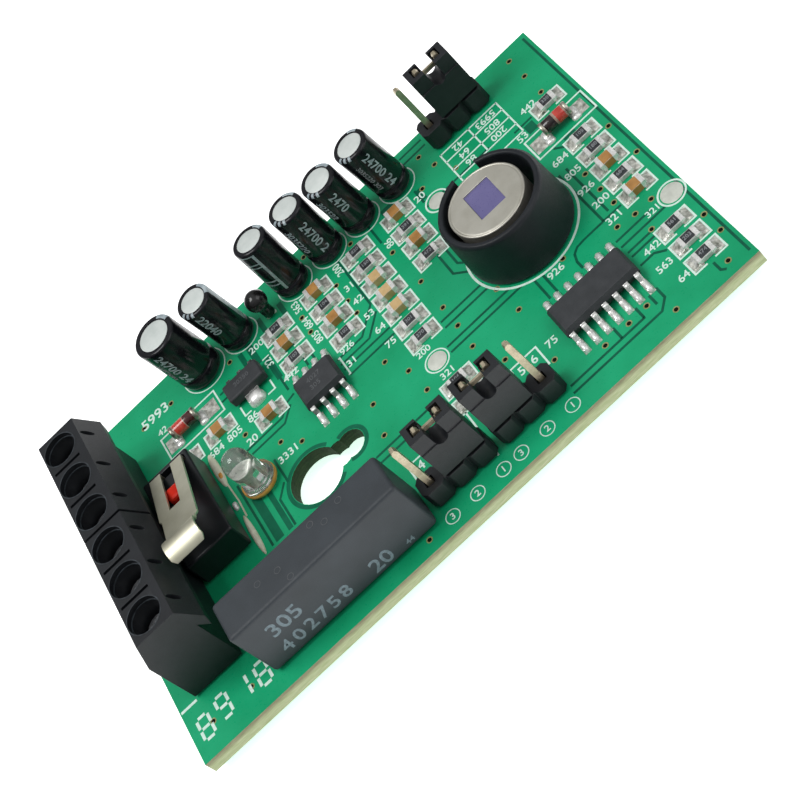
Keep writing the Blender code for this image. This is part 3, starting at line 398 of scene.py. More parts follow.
def board_finish():
    """Green mask on the faces, bare laminate on the edges, painted shade on the walls round the mounting
    hole, and tin on chips and joints with painted dark reflections.
    """
    shader = Shader("solder_mask_board")
    shader.set(Specular_IOR_Level=0.22)
    x, y, z = shader.axes(shader.place)
    _, _, normal_z = shader.axes(shader.normal)
    green = shader.ramp(shader.noise(0.13, 5.0), (0.004, 0.3, 0.124), (0.011, 0.4, 0.18))
    fibres = shader.noise(0.9, 3.0, (1, 1, 8))
    upper = shader.spread(z, 0.0, 1.0, 0.85 * MM, 1.35 * MM)
    pale_edge = shader.ramp(fibres, (0.36, 0.42, 0.22), (0.5, 0.54, 0.33))
    brown_edge = shader.ramp(fibres, (0.2, 0.19, 0.11), (0.31, 0.3, 0.19))
    # Painted shade: the side faces round the mounting hole are near black, unlike the laminate of the outer
    # edges.
    keyhole_wall_shade = shader.ramp(fibres, (0.01, 0.03, 0.01), (0.03, 0.058, 0.02))
    du = shader.math("SUBTRACT", x, (KEYHOLE[0] - LENGTH / 2) * MM)
    dv = shader.math("SUBTRACT", y, (KEYHOLE[1] - WIDTH / 2) * MM)
    reach = shader.math("ADD", shader.math("MULTIPLY", du, du), shader.math("MULTIPLY", dv, dv))
    near = shader.math("LESS_THAN", reach, (KEYHOLE_REACH * MM) ** 2)
    side = shader.math("LESS_THAN", shader.math("ABSOLUTE", normal_z), 0.5)
    below = shader.math("LESS_THAN", z, -0.05 * MM)
    above = shader.math("GREATER_THAN", z, (THICKNESS + 0.02) * MM)
    metal = shader.math("MAXIMUM", below, above)
    edge = shader.mix(upper, pale_edge, brown_edge)
    # Side faces near the mounting hole take the painted shade, the other side faces the laminate edge
    # colour.
    colour = shader.mix(side, green, shader.mix(near, edge, keyhole_wall_shade))
    # Tin where chips and joints meet the board: random mottle, its near black patches painted dark
    # reflection.
    tin_mottle_and_reflection = shader.noise(1.9, 3.0)
    colour = shader.mix(metal, colour, shader.ramp(tin_mottle_and_reflection, (0.2, 0.21, 0.17), TIN_LIGHT))
    shader.link(shader.math("MULTIPLY", metal, 0.5), shader.principled.inputs["Metallic"])
    grain = shader.noise(4.0, 3.0)
    rough = shader.math("ADD", shader.spread(grain, 0.26, 0.4), shader.math("MULTIPLY", side, 0.45))
    shader.finish(colour, rough, shader.noise(0.7, 4.0), 0.012)


def circuit_finish(name, v, half_width):
    """Black moulded epoxy, with the legs that stand out past the body in bright tin."""
    shader = Shader(name)
    _, y, _ = shader.axes(shader.place)
    off = shader.math("ABSOLUTE", shader.math("SUBTRACT", y, (v - WIDTH / 2) * MM))
    leg = shader.math("GREATER_THAN", off, (half_width + 0.015) * MM)
    grain = shader.noise(14.0, 4.0)
    epoxy = shader.ramp(shader.noise(0.8, 4.0), (0.02, 0.023, 0.026), (0.034, 0.037, 0.041))
    tin = shader.ramp(shader.noise(2.0, 3.0), TIN_DARK, TIN_LIGHT)
    shader.link(leg, shader.principled.inputs["Metallic"])
    rough = shader.math("SUBTRACT", shader.spread(grain, 0.48, 0.68), shader.math("MULTIPLY", leg, 0.25))
    shader.finish(shader.mix(leg, epoxy, tin), rough, grain, 0.01)


def diode_finish(name, u, bands):
    """A glass barrel: bands are (from, to, dark, light) along it, in millimetres from its middle."""
    shader = Shader(name)
    shader.set(IOR=1.5, Coat_Weight=0.4, Coat_Roughness=0.06)
    x, _, _ = shader.axes(shader.place)
    run = shader.math("SUBTRACT", x, (u - LENGTH / 2) * MM)
    speck = shader.noise(1.6, 3.0)
    colour = shader.ramp(speck, (0.2, 0.11, 0.08), (0.46, 0.34, 0.27))
    for start, end, dark, light in bands:
        inside = shader.math("MULTIPLY", shader.math("GREATER_THAN", run, start * MM),
                             shader.math("LESS_THAN", run, end * MM))
        colour = shader.mix(inside, colour, shader.ramp(speck, dark, light))
    cap = shader.math("GREATER_THAN", shader.math("ABSOLUTE", run), 1.29 * MM)
    colour = shader.mix(cap, colour, shader.ramp(speck, (0.22, 0.2, 0.16), (0.6, 0.57, 0.48)))
    shader.link(cap, shader.principled.inputs["Metallic"])
    rough = shader.math("ADD", shader.spread(speck, 0.08, 0.22), shader.math("MULTIPLY", cap, 0.25))
    shader.finish(colour, rough, shader.noise(5.0), 0.006)


def lever_finish():
    """Satin nickel with fine lengthwise brushing."""
    shader = Shader("satin_nickel")
    shader.set(Metallic=1.0)
    brushed = shader.noise(3.0, 4.0, (4, 0.5, 0.5))
    colour = shader.ramp(shader.noise(0.5, 3.0), (0.6, 0.58, 0.44), (0.69, 0.67, 0.53))
    shader.finish(colour, shader.spread(brushed, 0.42, 0.5), brushed, 0.003)


def clear_finish():
    """Water-clear cast resin, a little cloudy."""
    shader = Shader("clear_resin")
    shader.set(Transmission_Weight=0.9, IOR=1.48)
    cloud = shader.noise(0.9, 3.0)
    colour = shader.ramp(cloud, (0.86, 0.9, 0.85), (0.98, 0.98, 0.96))
    shader.finish(colour, shader.spread(cloud, 0.03, 0.12), shader.noise(1.5), 0.006)


def window_finish():
    """The infrared filter: a coated violet plate with a soft sheen."""
    shader = Shader("infrared_filter")
    shader.set(Coat_Weight=0.5, Coat_Roughness=0.15)
    colour = shader.ramp(shader.noise(0.35, 3.0), (0.108, 0.098, 0.248), (0.142, 0.126, 0.296))
    fine = shader.noise(5.0)
    shader.finish(colour, shader.spread(fine, 0.25, 0.35), fine, 0.002)


# The glass bands' colours, each dark and light
GLASS_RED = ((0.4, 0.02, 0.012), (0.62, 0.07, 0.045))
GLASS_DARK = ((0.022, 0.003, 0.003), (0.09, 0.01, 0.01))
GLASS_BLACK = ((0.003, 0.002, 0.002), (0.02, 0.006, 0.006))

for name, row in SURFACES.items():
    surface(name, *row)
board_finish()
lever_finish()
clear_finish()
window_finish()

dress("solder_mask_board", "circuit_board")
dress("terminal_plastic", "terminal_housing_1", "terminal_housing_2")
for way in range(1, 7):
    dress("zinc_plate", f"terminal_screw_{way}", f"clamp_cage_{way}")
    dress("tinned_brass", f"terminal_contact_{way}")
dress("switch_plastic", "switch_body")
dress("satin_nickel", "switch_lever")
dress("plunger_red", "switch_plunger")
dress("relay_plastic", "relay")
dress("sensor_can_metal", "sensor_can")
dress("infrared_filter", "sensor_window")
dress("holder_rubber", "sensor_holder")
for name, (_, v), half_width in (
    ("microcontroller", MICROCONTROLLER, 1.95), ("amplifier", AMPLIFIER, 1.95),
    ("regulator", REGULATOR, 1.25),
):
    circuit_finish(f"{name}_finish", v, half_width)
    dress(f"{name}_finish", name)
for header in ("alarm", "led", "pulse"):
    dress("header_plastic", f"{header}_header", f"{header}_jumper")
    dress("pale_gold", f"{header}_clip", *(f"{header}_pin_{pin}" for pin in (1, 2, 3)))


def soften(width, *names):
    """Rounds the sharp edges of CAD nodes a little, so that they catch the light."""
    for name in names:
        node = NODES[name]
        weld = node.modifiers.new("weld", "WELD")
        weld.merge_threshold = 1e-6
        flat = node.modifiers.new("flat", "DECIMATE")
        flat.decimate_type = "DISSOLVE"
        flat.angle_limit = math.radians(1.0)
        edge = node.modifiers.new("edges", "BEVEL")
        edge.width = width * MM
        edge.segments = 2
        edge.limit_method = "ANGLE"
        edge.angle_limit = math.radians(35)
        node.modifiers.new("shading", "WEIGHTED_NORMAL")


soften(0.12, "terminal_housing_1", "terminal_housing_2")
soften(0.08, "relay", "switch_body", "sensor_holder")
soften(0.05, "microcontroller", "amplifier", "regulator", "alarm_header", "led_header", "pulse_header")
soften(0.05, "alarm_jumper", "led_jumper", "pulse_jumper", "sensor_can")
soften(0.03, "switch_lever")


# Chips

CHIP_COLUMNS = (
    (27.85, 36.0, "RCR"), (33.3, 36.0, "CRCR"), (39.0, 36.0, "RRPPPRR"), (39.0, 13.2, "RR"),
    (44.5, 36.0, "CRCR"), (62.65, 32.6, "R"), (62.65, 25.7, "RRCRC"), (62.65, 9.0, "RRR"),
)
CHIP_PITCH = 2.54
chips = [("C", 17.3, 30.9), ("R", 12.8, 30.9), ("C", 22.6, 27.5)]
for u, top, kinds in CHIP_COLUMNS:
    chips += [(kind, u, top - row * CHIP_PITCH) for row, kind in enumerate(kinds)]

# Half sizes and heights of a chip, a hair over the CAD solid that it covers
HALF, HALF_WIDTH, CAP_RUN = 1.015, 0.64, 0.5
RESISTOR_TOP, CAPACITOR_TOP = 0.515, 0.865
# How far a chip's ends stand out past its body, and half the width of its solder
PROUD = 0.02
FILLET_HALF = 0.8
# A chip's pad along it and half across it, and the printed bracket round it in the same way
PAD_NEAR, PAD_FAR, PAD_HALF = 0.62, 1.72, 0.84
BRACKET_NEAR, BRACKET_FAR, BRACKET_HALF = 0.45, 1.82, 0.98
LINE = 0.19
SILK_HEIGHT, TRACK_HEIGHT = 0.02, 0.008


def bodies(sort, top):
    def build(shape):
        for kind, u, v in chips:
            if kind == sort:
                low = (u - HALF + PROUD, v - HALF_WIDTH, 0.03)
                block(shape, low, (u + HALF - PROUD, v + HALF_WIDTH, top), 0.05)
    return build


def glaze(shape):
    for kind, u, v in chips:
        if kind == "R":
            low = (u - 0.56, v - 0.55, RESISTOR_TOP - 0.02)
            block(shape, low, (u + 0.56, v + 0.55, RESISTOR_TOP + 0.045), 0.03)


def each_end(build):
    def all_ends(shape):
        for kind, u, v in chips:
            for side in (-1, 1):
                build(shape, kind, u, v, side)
    return all_ends


def ends(shape, kind, u, v, side):
    """The metal ends of a chip, a little fatter than its body."""
    near, far = (-HALF, CAP_RUN - HALF) if side < 0 else (HALF - CAP_RUN, HALF + PROUD)
    across = HALF_WIDTH + PROUD
    top = RESISTOR_TOP if kind == "R" else CAPACITOR_TOP
    block(shape, (u + near, v - across, PROUD), (u + far, v + across, top + PROUD), 0.06)


def fillets(shape, kind, u, v, side):
    """Solder drawn up the ends of a chip: a hollow slope, rounded across."""
    rise = (0.38 if kind == "R" else 0.55) * random.uniform(0.9, 1.1)
    toe = random.uniform(0.58, 0.7)
    rings = []
    for share in (i / 7 for i in range(8)):
        run = HALF - 0.12 + (toe + 0.12) * share
        height = rise * (1 - share) ** 1.5 + 0.07
        width = FILLET_HALF * (1 - 0.2 * share ** 3)
        rings.append([
            at(u + side * run, v - width * math.cos(angle), 0.01 + height * math.sin(angle) ** 0.5)
            for angle in (math.pi * j / 8 for j in range(9))
        ])
    loft(shape, rings)


def pads(shape, kind, u, v, side):
    near, far = sorted((u + side * PAD_NEAR, u + side * PAD_FAR))
    block(shape, (near, v - PAD_HALF, -0.01), (far, v + PAD_HALF, 0.035))


def brackets(shape, kind, u, v, side):
    near, far = u + side * BRACKET_NEAR, u + side * BRACKET_FAR
    for edge in (v - BRACKET_HALF, v + BRACKET_HALF):
        ribbon(shape, [(near, edge), (far, edge), (far, v)], LINE, SILK_HEIGHT)


piece("chip_capacitors", bodies("C", CAPACITOR_TOP), "chip_capacitor_body")
piece("chip_capacitors_pale", bodies("P", CAPACITOR_TOP), "chip_capacitor_pale")
piece("chip_resistors", bodies("R", RESISTOR_TOP), "alumina")
piece("resistor_glaze", glaze, "resistor_glaze")
piece("chip_ends", each_end(ends), "solder")
piece("chip_solder", each_end(fillets), "tinned_pad_painted_reflection", smooth=50)
piece("chip_pads", each_end(pads), "tinned_pad_painted_reflection")
piece("chip_outlines", each_end(brackets), "silk_print")


# Numbers


def flat(u, v, over=0.012, turn=0):
    """Places figures lying on a face that looks up."""
    c, s = math.cos(math.radians(turn)), math.sin(math.radians(turn))
    return lambda x, y, z: at(u + x * c - y * s, v + x * s + y * c, over + z)


def upright(u, v, height):
    """Places figures standing on a face that looks towards the near edge."""
    return lambda x, y, z: at(u + x, v - z, height + y)


def numbers(name, entries, finish, bent=False):
    """Raised plain numbers: (text, size, where) for each, where placing a point (along, up, out)."""
    shape = bmesh.new()
    for text, size, where in entries:
        curve = bpy.data.curves.new(name, "FONT")
        curve.body = text
        curve.size = size
        curve.align_x = "CENTER"
        curve.align_y = "CENTER"
        curve.extrude = 0.01
        curve.resolution_u = 3
        curve.offset = 0.014 * size
        lettering = placed(name, curve)
        bpy.context.view_layer.update()
        graph = bpy.context.evaluated_depsgraph_get()
        mesh = bpy.data.meshes.new_from_object(lettering.evaluated_get(graph))
        bpy.data.objects.remove(lettering)
        figures = bmesh.new()
        figures.from_mesh(mesh)
        if bent:
            for cut in range(-3, 4):
                parts = [*figures.verts, *figures.edges, *figures.faces]
                bmesh.ops.bisect_plane(figures, geom=parts, plane_co=(0, 0.2 * cut, 0), plane_no=(0, 1, 0))
        bmesh.ops.remove_doubles(figures, verts=figures.verts, dist=1e-4)
        for vertex in figures.verts:
            vertex.co = where(*vertex.co)
        figures.to_mesh(mesh)
        figures.free()
        shape.from_mesh(mesh)
        bpy.data.meshes.remove(mesh)
    riding(name, shape, finish)


RESISTOR_NUMBERS = "203 474 103 104 102 820 150 301 270 106 222 391 473 330 105 180 684 561".split()
resistors = [(u, v) for kind, u, v in chips if kind == "R"]
numbers("resistor_numbers", [
    (text, 0.62, flat(u, v, RESISTOR_TOP + 0.055))
    for text, (u, v) in zip(itertools.cycle(RESISTOR_NUMBERS), resistors)
], "number_print")

# Where the board is lettered, plain numbers instead: size and turn, then text, u and v of each
BOARD_NUMBERS = (
    (1.1, 0, (("200", 38.1, 19.2), ("321", 62.2, 12.1))),
    (1.15, 0, (("926", 32.5, 26.95), ("321", 38.7, 15.0))),
    (1.2, 0, (("42", 12.1, 37.0), ("442", 59.8, 8.8), ("563", 59.5, 6.2), ("64", 60.0, 3.7))),
    (1.25, 0, (("200", 25.1, 36.4), ("442", 26.4, 29.75), ("31", 36.3, 33.2), ("42", 36.2, 30.9),
        ("53", 36.2, 28.2), ("64", 36.2, 25.7), ("75", 36.2, 23.2), ("31", 32.1, 25.05),
        ("442", 61.0, 34.1), ("684", 59.6, 25.4), ("805", 59.6, 22.9), ("926", 59.4, 20.1),
        ("200", 59.6, 17.6), ("321", 59.4, 14.85), ("926", 52.2, 14.9))),
    (1.3, 0, (("20", 47.3, 35.6), ("684", 15.9, 29.1), ("805", 18.4, 29.1), ("86", 20.9, 29.1),
        ("3331", 21.9, 21.8), ("53", 58.6, 31.4), ("75", 47.7, 8.8))),
    (1.35, 0, (("20", 19.6, 26.7),)),
    (1.4, 0, (("5", 44.0, 8.7), ("6", 45.5, 8.7))),
    (1.5, 0, (("4", 31.6, 8.7),)),
    (1.85, 0, (("5993", 12.2, 39.5),)),
    (1.2, 90, (("563", 30.8, 36.5), ("684", 30.8, 33.6), ("805", 30.8, 31.1), ("200", 36.45, 36.2))),
    (1.25, 90, (("321", 25.3, 33.6), ("86", 42.1, 33.8))),
    (1.25, 180, (("42", 53.5, 37.3), ("5993", 57.2, 37.3), ("64", 53.5, 35.8), ("805", 57.2, 35.8),
        ("86", 53.5, 34.35), ("200", 57.2, 34.35))),
)
PIN_NUMBERS = ((3, 31.22), (2, 34.2), (1, 37.3), (3, 39.4), (2, 42.5), (1, 45.5))
PIN_NUMBERS_V = 1.6
lettering = [(str(pin), 1.0, flat(u, PIN_NUMBERS_V)) for pin, u in PIN_NUMBERS]
for size, turn, entries in BOARD_NUMBERS:
    lettering += [(text, size, flat(u, v, turn=turn)) for text, u, v in entries]
numbers("board_numbers", lettering, "silk_print")

# Faint rows on the circuits: text, size, u, v, height over the board
CIRCUIT_NUMBERS = (
    ("4027", 0.85, 28.45, 25.55, 1.655), ("305", 0.85, 28.2, 24.5, 1.655),
    ("20350", 0.8, 22.3, 32.75, 1.505),
)
lying = [(text, size, flat(u, v, height)) for text, size, u, v, height in CIRCUIT_NUMBERS]
numbers("circuit_numbers", lying, "faint_print")

# The relay's near face: text, size, u, height
RELAY_FACE = 1.9
RELAY_NUMBERS = (
    *((figure, 2.2, u, 2.0) for figure, u in zip("402758", (12.9, 14.35, 15.8, 17.2, 18.6, 20.0))),
    ("305", 2.5, 14.6, 4.6), ("20", 2.4, 24.1, 1.7), ("44", 0.9, 27.15, 1.2),
)
standing = [(text, size, upright(u, RELAY_FACE, height)) for text, size, u, height in RELAY_NUMBERS]
numbers("relay_numbers", standing, "relay_print")


# Silk print


def segments(shape, figures):
    """Large seven-stroke numerals, each from its lower left corner (u, v)."""
    strokes = {"a": (0.22, 2.6, 1.08, 2.6), "b": (1.3, 1.46, 1.3, 2.42), "c": (1.3, 0.18, 1.3, 1.14),
               "d": (0.22, 0.0, 1.08, 0.0), "e": (0.0, 0.18, 0.0, 1.14), "f": (0.0, 1.46, 0.0, 2.42),
               "g": (0.22, 1.3, 1.08, 1.3)}
    lit = {"1": "bc", "8": "abcdefg", "9": "abcdfg"}
    for figure, u, v in figures:
        for stroke in lit[figure]:
            x0, y0, x1, y1 = strokes[stroke]
            ribbon(shape, [(u + x0, v + y0), (u + x1, v + y1)], 0.33, SILK_HEIGHT)


def silk_lines(shape):
    def line(points, width=LINE, closed=False):
        ribbon(shape, points, width, SILK_HEIGHT, closed=closed)

    line([(0.15, 6.5), (2.1, 6.5)], 0.3)
    line(circle(52.3, 21.88, 6.15, 72), 0.25, True)
    line(rectangle(11.45, 32.85, 18.85, 36.15), LINE, True)
    line(rectangle(58.3, 27.4, 65.6, 30.6), LINE, True)
    line([(21.1, 29.95), (20.3, 29.95), (20.3, 31.4)])
    line([(23.4, 29.95), (24.35, 29.95), (24.35, 31.4)])
    line([(31.1, 24.0), (31.3, 24.0), (31.3, 26.6), (31.1, 26.6)])
    line(circle(64.5, 12.15, 1.4, 32), LINE, True)
    line(circle(48.4, 33.4, 1.35, 32), LINE, True)
    line(circle(38.6, 17.1, 1.3, 32), 0.15, True)
    line([(37.7, 3.2), (37.7, 9.8)])
    line(rectangle(43.2, 7.1, 46.3, 9.75), LINE, True)
    line(rectangle(30.5, 7.6, 32.5, 9.7), LINE, True)
    for v in (38.0, 36.6, 35.05, 33.6):
        line([(51.55, v), (59.1, v)], 0.18)
    line([(55.4, 32.1), (59.1, 32.1)], 0.18)
    for u, low in ((51.55, 32.9), (55.35, 33.6), (59.1, 32.1)):
        line([(u, low), (u, 38.1)], 0.18)
    for u, (radius, _, _) in zip(CAPACITORS_U, CANS):
        line(circle(u, CAPACITOR_V, radius + 0.12, 48), 0.14, True)
    for _, u in PIN_NUMBERS:
        line(circle(u, PIN_NUMBERS_V, 0.74, 24), 0.1, True)
    segments(shape, (("8", 1.1, 2.0), ("9", 3.5, 2.4), ("1", 5.9, 2.3), ("8", 8.25, 2.1)))


piece("silk_lines", silk_lines, "silk_print")


# Traces, vias and test pads

# Dark clearance lines beside the copper, along the board: v, u from, u to
CLEARANCES_ALONG = (
    (24.9, 31.0, 37.0), (23.85, 31.2, 37.0), (20.5, 41.1, 46.5), (19.55, 41.1, 46.7), (17.5, 40.1, 48.2),
    (16.65, 40.1, 49.2), (12.4, 57.9, 62.2), (11.45, 57.9, 63.2), (9.7, 58.0, 60.7), (10.4, 58.0, 60.7),
    (3.35, 46.4, 55.2), (42.0, 48.2, 51.2), (41.0, 48.2, 51.2), (33.8, 47.0, 55.6), (32.75, 58.3, 60.6),
    (34.9, 19.2, 20.0), (33.9, 19.0, 20.0), (13.3, 28.6, 31.8), (12.4, 28.6, 31.8), (13.3, 33.6, 35.6),
    (13.4, 21.2, 23.9),
)
# The same across the board: u, v from, v to
CLEARANCES_ACROSS = (
    (29.3, 29.0, 31.2), (28.4, 29.0, 30.6), (25.35, 28.4, 33.0), (50.2, 16.2, 12.9), (51.1, 16.0, 12.9),
    (58.45, 24.0, 15.5), (59.4, 24.0, 16.0), (52.5, 3.4, 5.0), (55.1, 3.4, 4.9), (56.7, 3.5, 4.9),
    (47.3, 34.6, 36.9), (41.5, 37.9, 34.6), (65.5, 0.8, 42.3), (20.35, 19.0, 22.6), (15.85, 14.2, 23.5),
    (46.6, 28.9, 27.4),
)
# The same with corners
CLEARANCES_BENT = (
    [(31.0, 26.6), (34.3, 26.6), (36.0, 28.3), (36.9, 29.2), (36.9, 37.5)],
    [(31.0, 25.75), (34.8, 25.75), (36.9, 27.9)], [(18.4, 26.1), (23.3, 26.1), (24.4, 27.2), (25.6, 27.5)],
    [(18.8, 25.25), (23.2, 25.25), (24.7, 26.7)], [(44.95, 27.6), (44.95, 24.2), (46.2, 22.95)],
    [(45.9, 27.6), (45.9, 24.9), (46.4, 24.3)],
    [(54.2, 12.9), (54.2, 14.0), (54.5, 14.9), (55.1, 15.35), (56.0, 15.45), (60.6, 15.45)],
    [(58.0, 8.2), (59.6, 8.2), (60.6, 7.4)], [(46.2, 2.5), (56.6, 2.5), (57.6, 3.5), (57.6, 5.0)],
    [(59.9, 27.2), (60.8, 26.3)], [(62.6, 2.6), (62.6, 1.4), (63.0, 1.0)],
    [(18.75, 14.2), (18.75, 18.0), (20.0, 19.4)],
)
# Bare laminate under the mask: (u0, v0, u1, v1)
DARK_FIELDS = (
    (16.3, 14.2, 17.3, 20.6), (17.9, 14.2, 18.5, 20.0), (22.9, 34.9, 23.5, 37.4),
    (24.0, 34.2, 24.8, 37.6), (26.5, 37.2, 27.1, 39.4), (29.2, 37.0, 29.8, 39.0), (25.0, 30.5, 25.7, 34.2),
    (47.4, 34.9, 47.9, 36.7), (43.3, 37.4, 44.9, 38.2), (37.1, 32.2, 37.4, 36.9), (61.2, 26.9, 62.6, 27.3),
    (27.2, 35.2, 28.5, 35.6), (27.2, 32.6, 28.5, 33.2), (32.7, 30.4, 34.0, 30.9), (59.3, 31.0, 60.4, 32.4),
)
VIAS = (
    (10.5, 39.35), (14.35, 39.3), (21.9, 37.55), (19.25, 28.0), (21.85, 23.75), (34.4, 41.45), (39.0, 37.85),
    (30.6, 34.8), (35.3, 34.7), (30.5, 32.35), (35.3, 31.85), (35.3, 29.65), (41.75, 32.45), (42.1, 26.55),
    (42.15, 21.8), (34.6, 21.85), (23.65, 21.8), (49.85, 40.2), (50.55, 37.7), (48.05, 36.3), (51.9, 35.05),
    (62.95, 41.2), (62.95, 37.9), (62.95, 34.45), (65.0, 24.25), (60.3, 21.65), (2.6, 3.2), (7.35, 3.1),
    (31.3, 18.75), (35.9, 18.75), (36.2, 15.25), (30.45, 14.75), (42.15, 18.65), (42.0, 15.3), (28.3, 1.45),
    (47.1, 18.6), (53.45, 15.55), (47.4, 14.65), (43.5, 11.2), (46.85, 7.0), (60.9, 13.35), (62.85, 13.35),
    (60.95, 10.55), (60.3, 18.8), (60.3, 16.3), (65.05, 19.1), (65.05, 7.5), (65.05, 4.8), (53.8, 4.1),
    (55.95, 4.2), (57.55, 1.55), (63.6, 1.6), (58.95, 13.7), (51.0, 4.1),
)
VIA_RING, VIA_HOLE = 0.34, 0.21
# Each face of the board, and which way it looks
FACES = ((0.0, 1), (UNDER, -1))
TEST_PADS = ((38.6, 17.1, 1.05), (64.5, 12.15, 1.15), (48.4, 33.4, 1.0))


def lines(shape):
    straight = [[(u0, v), (u1, v)] for v, u0, u1 in CLEARANCES_ALONG]
    straight += [[(u, v0), (u, v1)] for u, v0, v1 in CLEARANCES_ACROSS]
    for points in (*straight, *CLEARANCES_BENT):
        ribbon(shape, points, 0.27, TRACK_HEIGHT)


def rings(shape):
    profile = [(VIA_HOLE, 0.0), (VIA_RING, 0.0), (VIA_RING, 0.012), (VIA_HOLE + 0.04, 0.022)]
    for (face, up), (u, v) in itertools.product(FACES, VIAS):
        loft(shape, [[at(x, y, face + up * height) for x, y in circle(u, v, radius, 20)]
                     for radius, height in profile], closed=True)


# Dark discs where the vias go through both faces: painted shade in the holes.
def holes(shape):
    for (face, up), (u, v) in itertools.product(FACES, VIAS):
        disc(shape, u, v, VIA_HOLE + 0.01, *sorted((face, face + up * 0.01)), 16)


def test_pads(shape):
    for u, v, radius in TEST_PADS:
        turned(shape, u, v, [(radius, 0.0), (radius, 0.02), (radius * 0.85, 0.05), (0.02, 0.06)], 36)


def fields(shape):
    for u0, v0, u1, v1 in DARK_FIELDS:
        block(shape, (u0, v0, 0.0), (u1, v1, 0.006))
    ribbon(shape, circle(23.0, 17.0, 3.28, 40, 42, 276.0), 0.45, 0.005)
    ribbon(shape, circle(27.4, 17.0, 1.82, 24, -115, 230.0), 0.45, 0.005)


piece("clearance_lines", lines, "clearance_line")
piece("dark_fields", fields, "dark_field")
piece("via_rings", rings, "via_ring", smooth=40)
piece("via_holes", holes, "via_hole_shade")
piece("test_pads", test_pads, "test_pad", smooth=40)


# Solder on the leaded parts


def mound(shape, u, v, long, wide, height, base=0.0, squareness=2.6):
    """A rounded blob of solder, long by wide, lying on the board."""
    rings = []
    for i in range(7):
        rise = math.sin(math.pi / 2 * i / 6)
        shrink = max(math.cos(math.pi / 2 * i / 6), 0.05) ** 0.8
        ring = []
        for j in range(20):
            angle = 2 * math.pi * j / 20
            c, s = math.cos(angle), math.sin(angle)
            x = math.copysign(abs(c) ** (2 / squareness), c) * long / 2 * shrink
            y = math.copysign(abs(s) ** (2 / squareness), s) * wide / 2 * shrink
            ring.append(at(u + x, v + y, base + height * rise))
        rings.append(ring)
    loft(shape, rings)


def legs():
    """Every leg of the two long circuits: its u, its circuit's v, and its side."""
    for (middle, v), count in ((AMPLIFIER, 4), (MICROCONTROLLER, 7)):
        for side, index in itertools.product((-1, 1), range(count)):
            yield middle + (index - (count - 1) / 2) * CIRCUIT_PITCH, v, side


def mounds(shape):
    for u, v, side in legs():
        mound(shape, u, v + side * 3.2, 0.74, 1.75, 0.6)
        mound(shape, u, v + side * 2.24, 0.58, 0.46, 0.13, 1.1)
    mound(shape, 22.3, 30.55, 2.0, 1.75, 0.86)
    for place in (20.8, 22.3, 23.8):
        mound(shape, place, 34.75, 0.75, 1.1, 0.4)
    for (u, v), side in itertools.product(DIODES, (-1.7, 1.7)):
        mound(shape, u + side, v, 1.1, 1.5, 0.55)
        mound(shape, u + side, v - 0.75, 1.1, 0.9, 0.35)
    mound(shape, 14.7, 21.5, 0.6, 1.2, 0.3)


def switch_frame(shape):
    mound(shape, 14.95, 27.0, 0.95, 5.2, 0.24, squareness=2.0)
    mound(shape, 14.85, 16.95, 0.7, 5.9, 0.24, squareness=2.0)
    ribbon(shape, [(15.1, 24.8), (15.25, 21.8), (15.15, 19.5)], 0.16, 0.08)


def switch_rivet(shape):
    mound(shape, 15.0, 26.0, 0.42, 0.95, 0.06, 0.19)


def leg_pads(shape):
    for u0, v0, u1, v1 in ((11.7, 33.4, 13.1, 35.3), (16.5, 33.4, 18.5, 35.4), (58.5, 28.0, 60.2, 29.9),
                           (63.5, 28.0, 65.1, 29.9)):
        block(shape, (u0, v0, -0.01), (u1, v1, 0.03))
    for u, v, side in legs():
        low, high = sorted((v + side * 2.2, v + side * 4.05))
        block(shape, (u - 0.34, low, -0.01), (u + 0.34, high, 0.03))


piece("solder_mounds", mounds, "solder", smooth=60)
piece("switch_frame", switch_frame, "switch_frame", smooth=60)
piece("switch_rivet", switch_rivet, "amber_rim", smooth=60)
piece("solder_pads", leg_pads, "tinned_pad_painted_reflection")


# Solder side

CAPACITOR_LEAD = 0.75
SENSOR_LEAD = 2.542


def lead_places():
    """Every place where a lead comes through to the solder side."""
    places = [(CONTACT_U, v) for v in WAYS_V]
    places += [(SWITCH[0], SWITCH[1] + step * WAY_PITCH) for step in (-1, 0, 1)]
    places += [(LED[0] + side * PIN_PITCH / 2, LED[1]) for side in (-1, 1)]
    places += [(RELAY[0] + step * 2 * PIN_PITCH, RELAY[1]) for step in (-1.5, -0.5, 0.5, 1.5)]
    places += [(u + side * CAPACITOR_LEAD, CAPACITOR_V) for u in CAPACITORS_U for side in (-1, 1)]
    places.append(THERMISTOR)
    for turn in (math.radians(angle) for angle in (45, 135, 270)):
        places.append((SENSOR[0] + SENSOR_LEAD * math.cos(turn), SENSOR[1] + SENSOR_LEAD * math.sin(turn)))
    places += [(u + pin * PIN_PITCH, v) for u, v in HEADERS for pin in range(3)]
    return places


def cones(shape):
    profile = [(0.36, -1.185), (0.43, -1.15), (0.46, -1.0), (0.52, -0.75), (0.64, -0.45), (0.86, -0.22),
               (0.98, -0.1), (1.02, 0.0)]
    for u, v in lead_places():
        turned(shape, u, v, [(radius, UNDER + height) for radius, height in profile], 20)


def annuli(shape):
    for u, v in lead_places():
        disc(shape, u, v, 1.18, UNDER - 0.025, UNDER, 24)


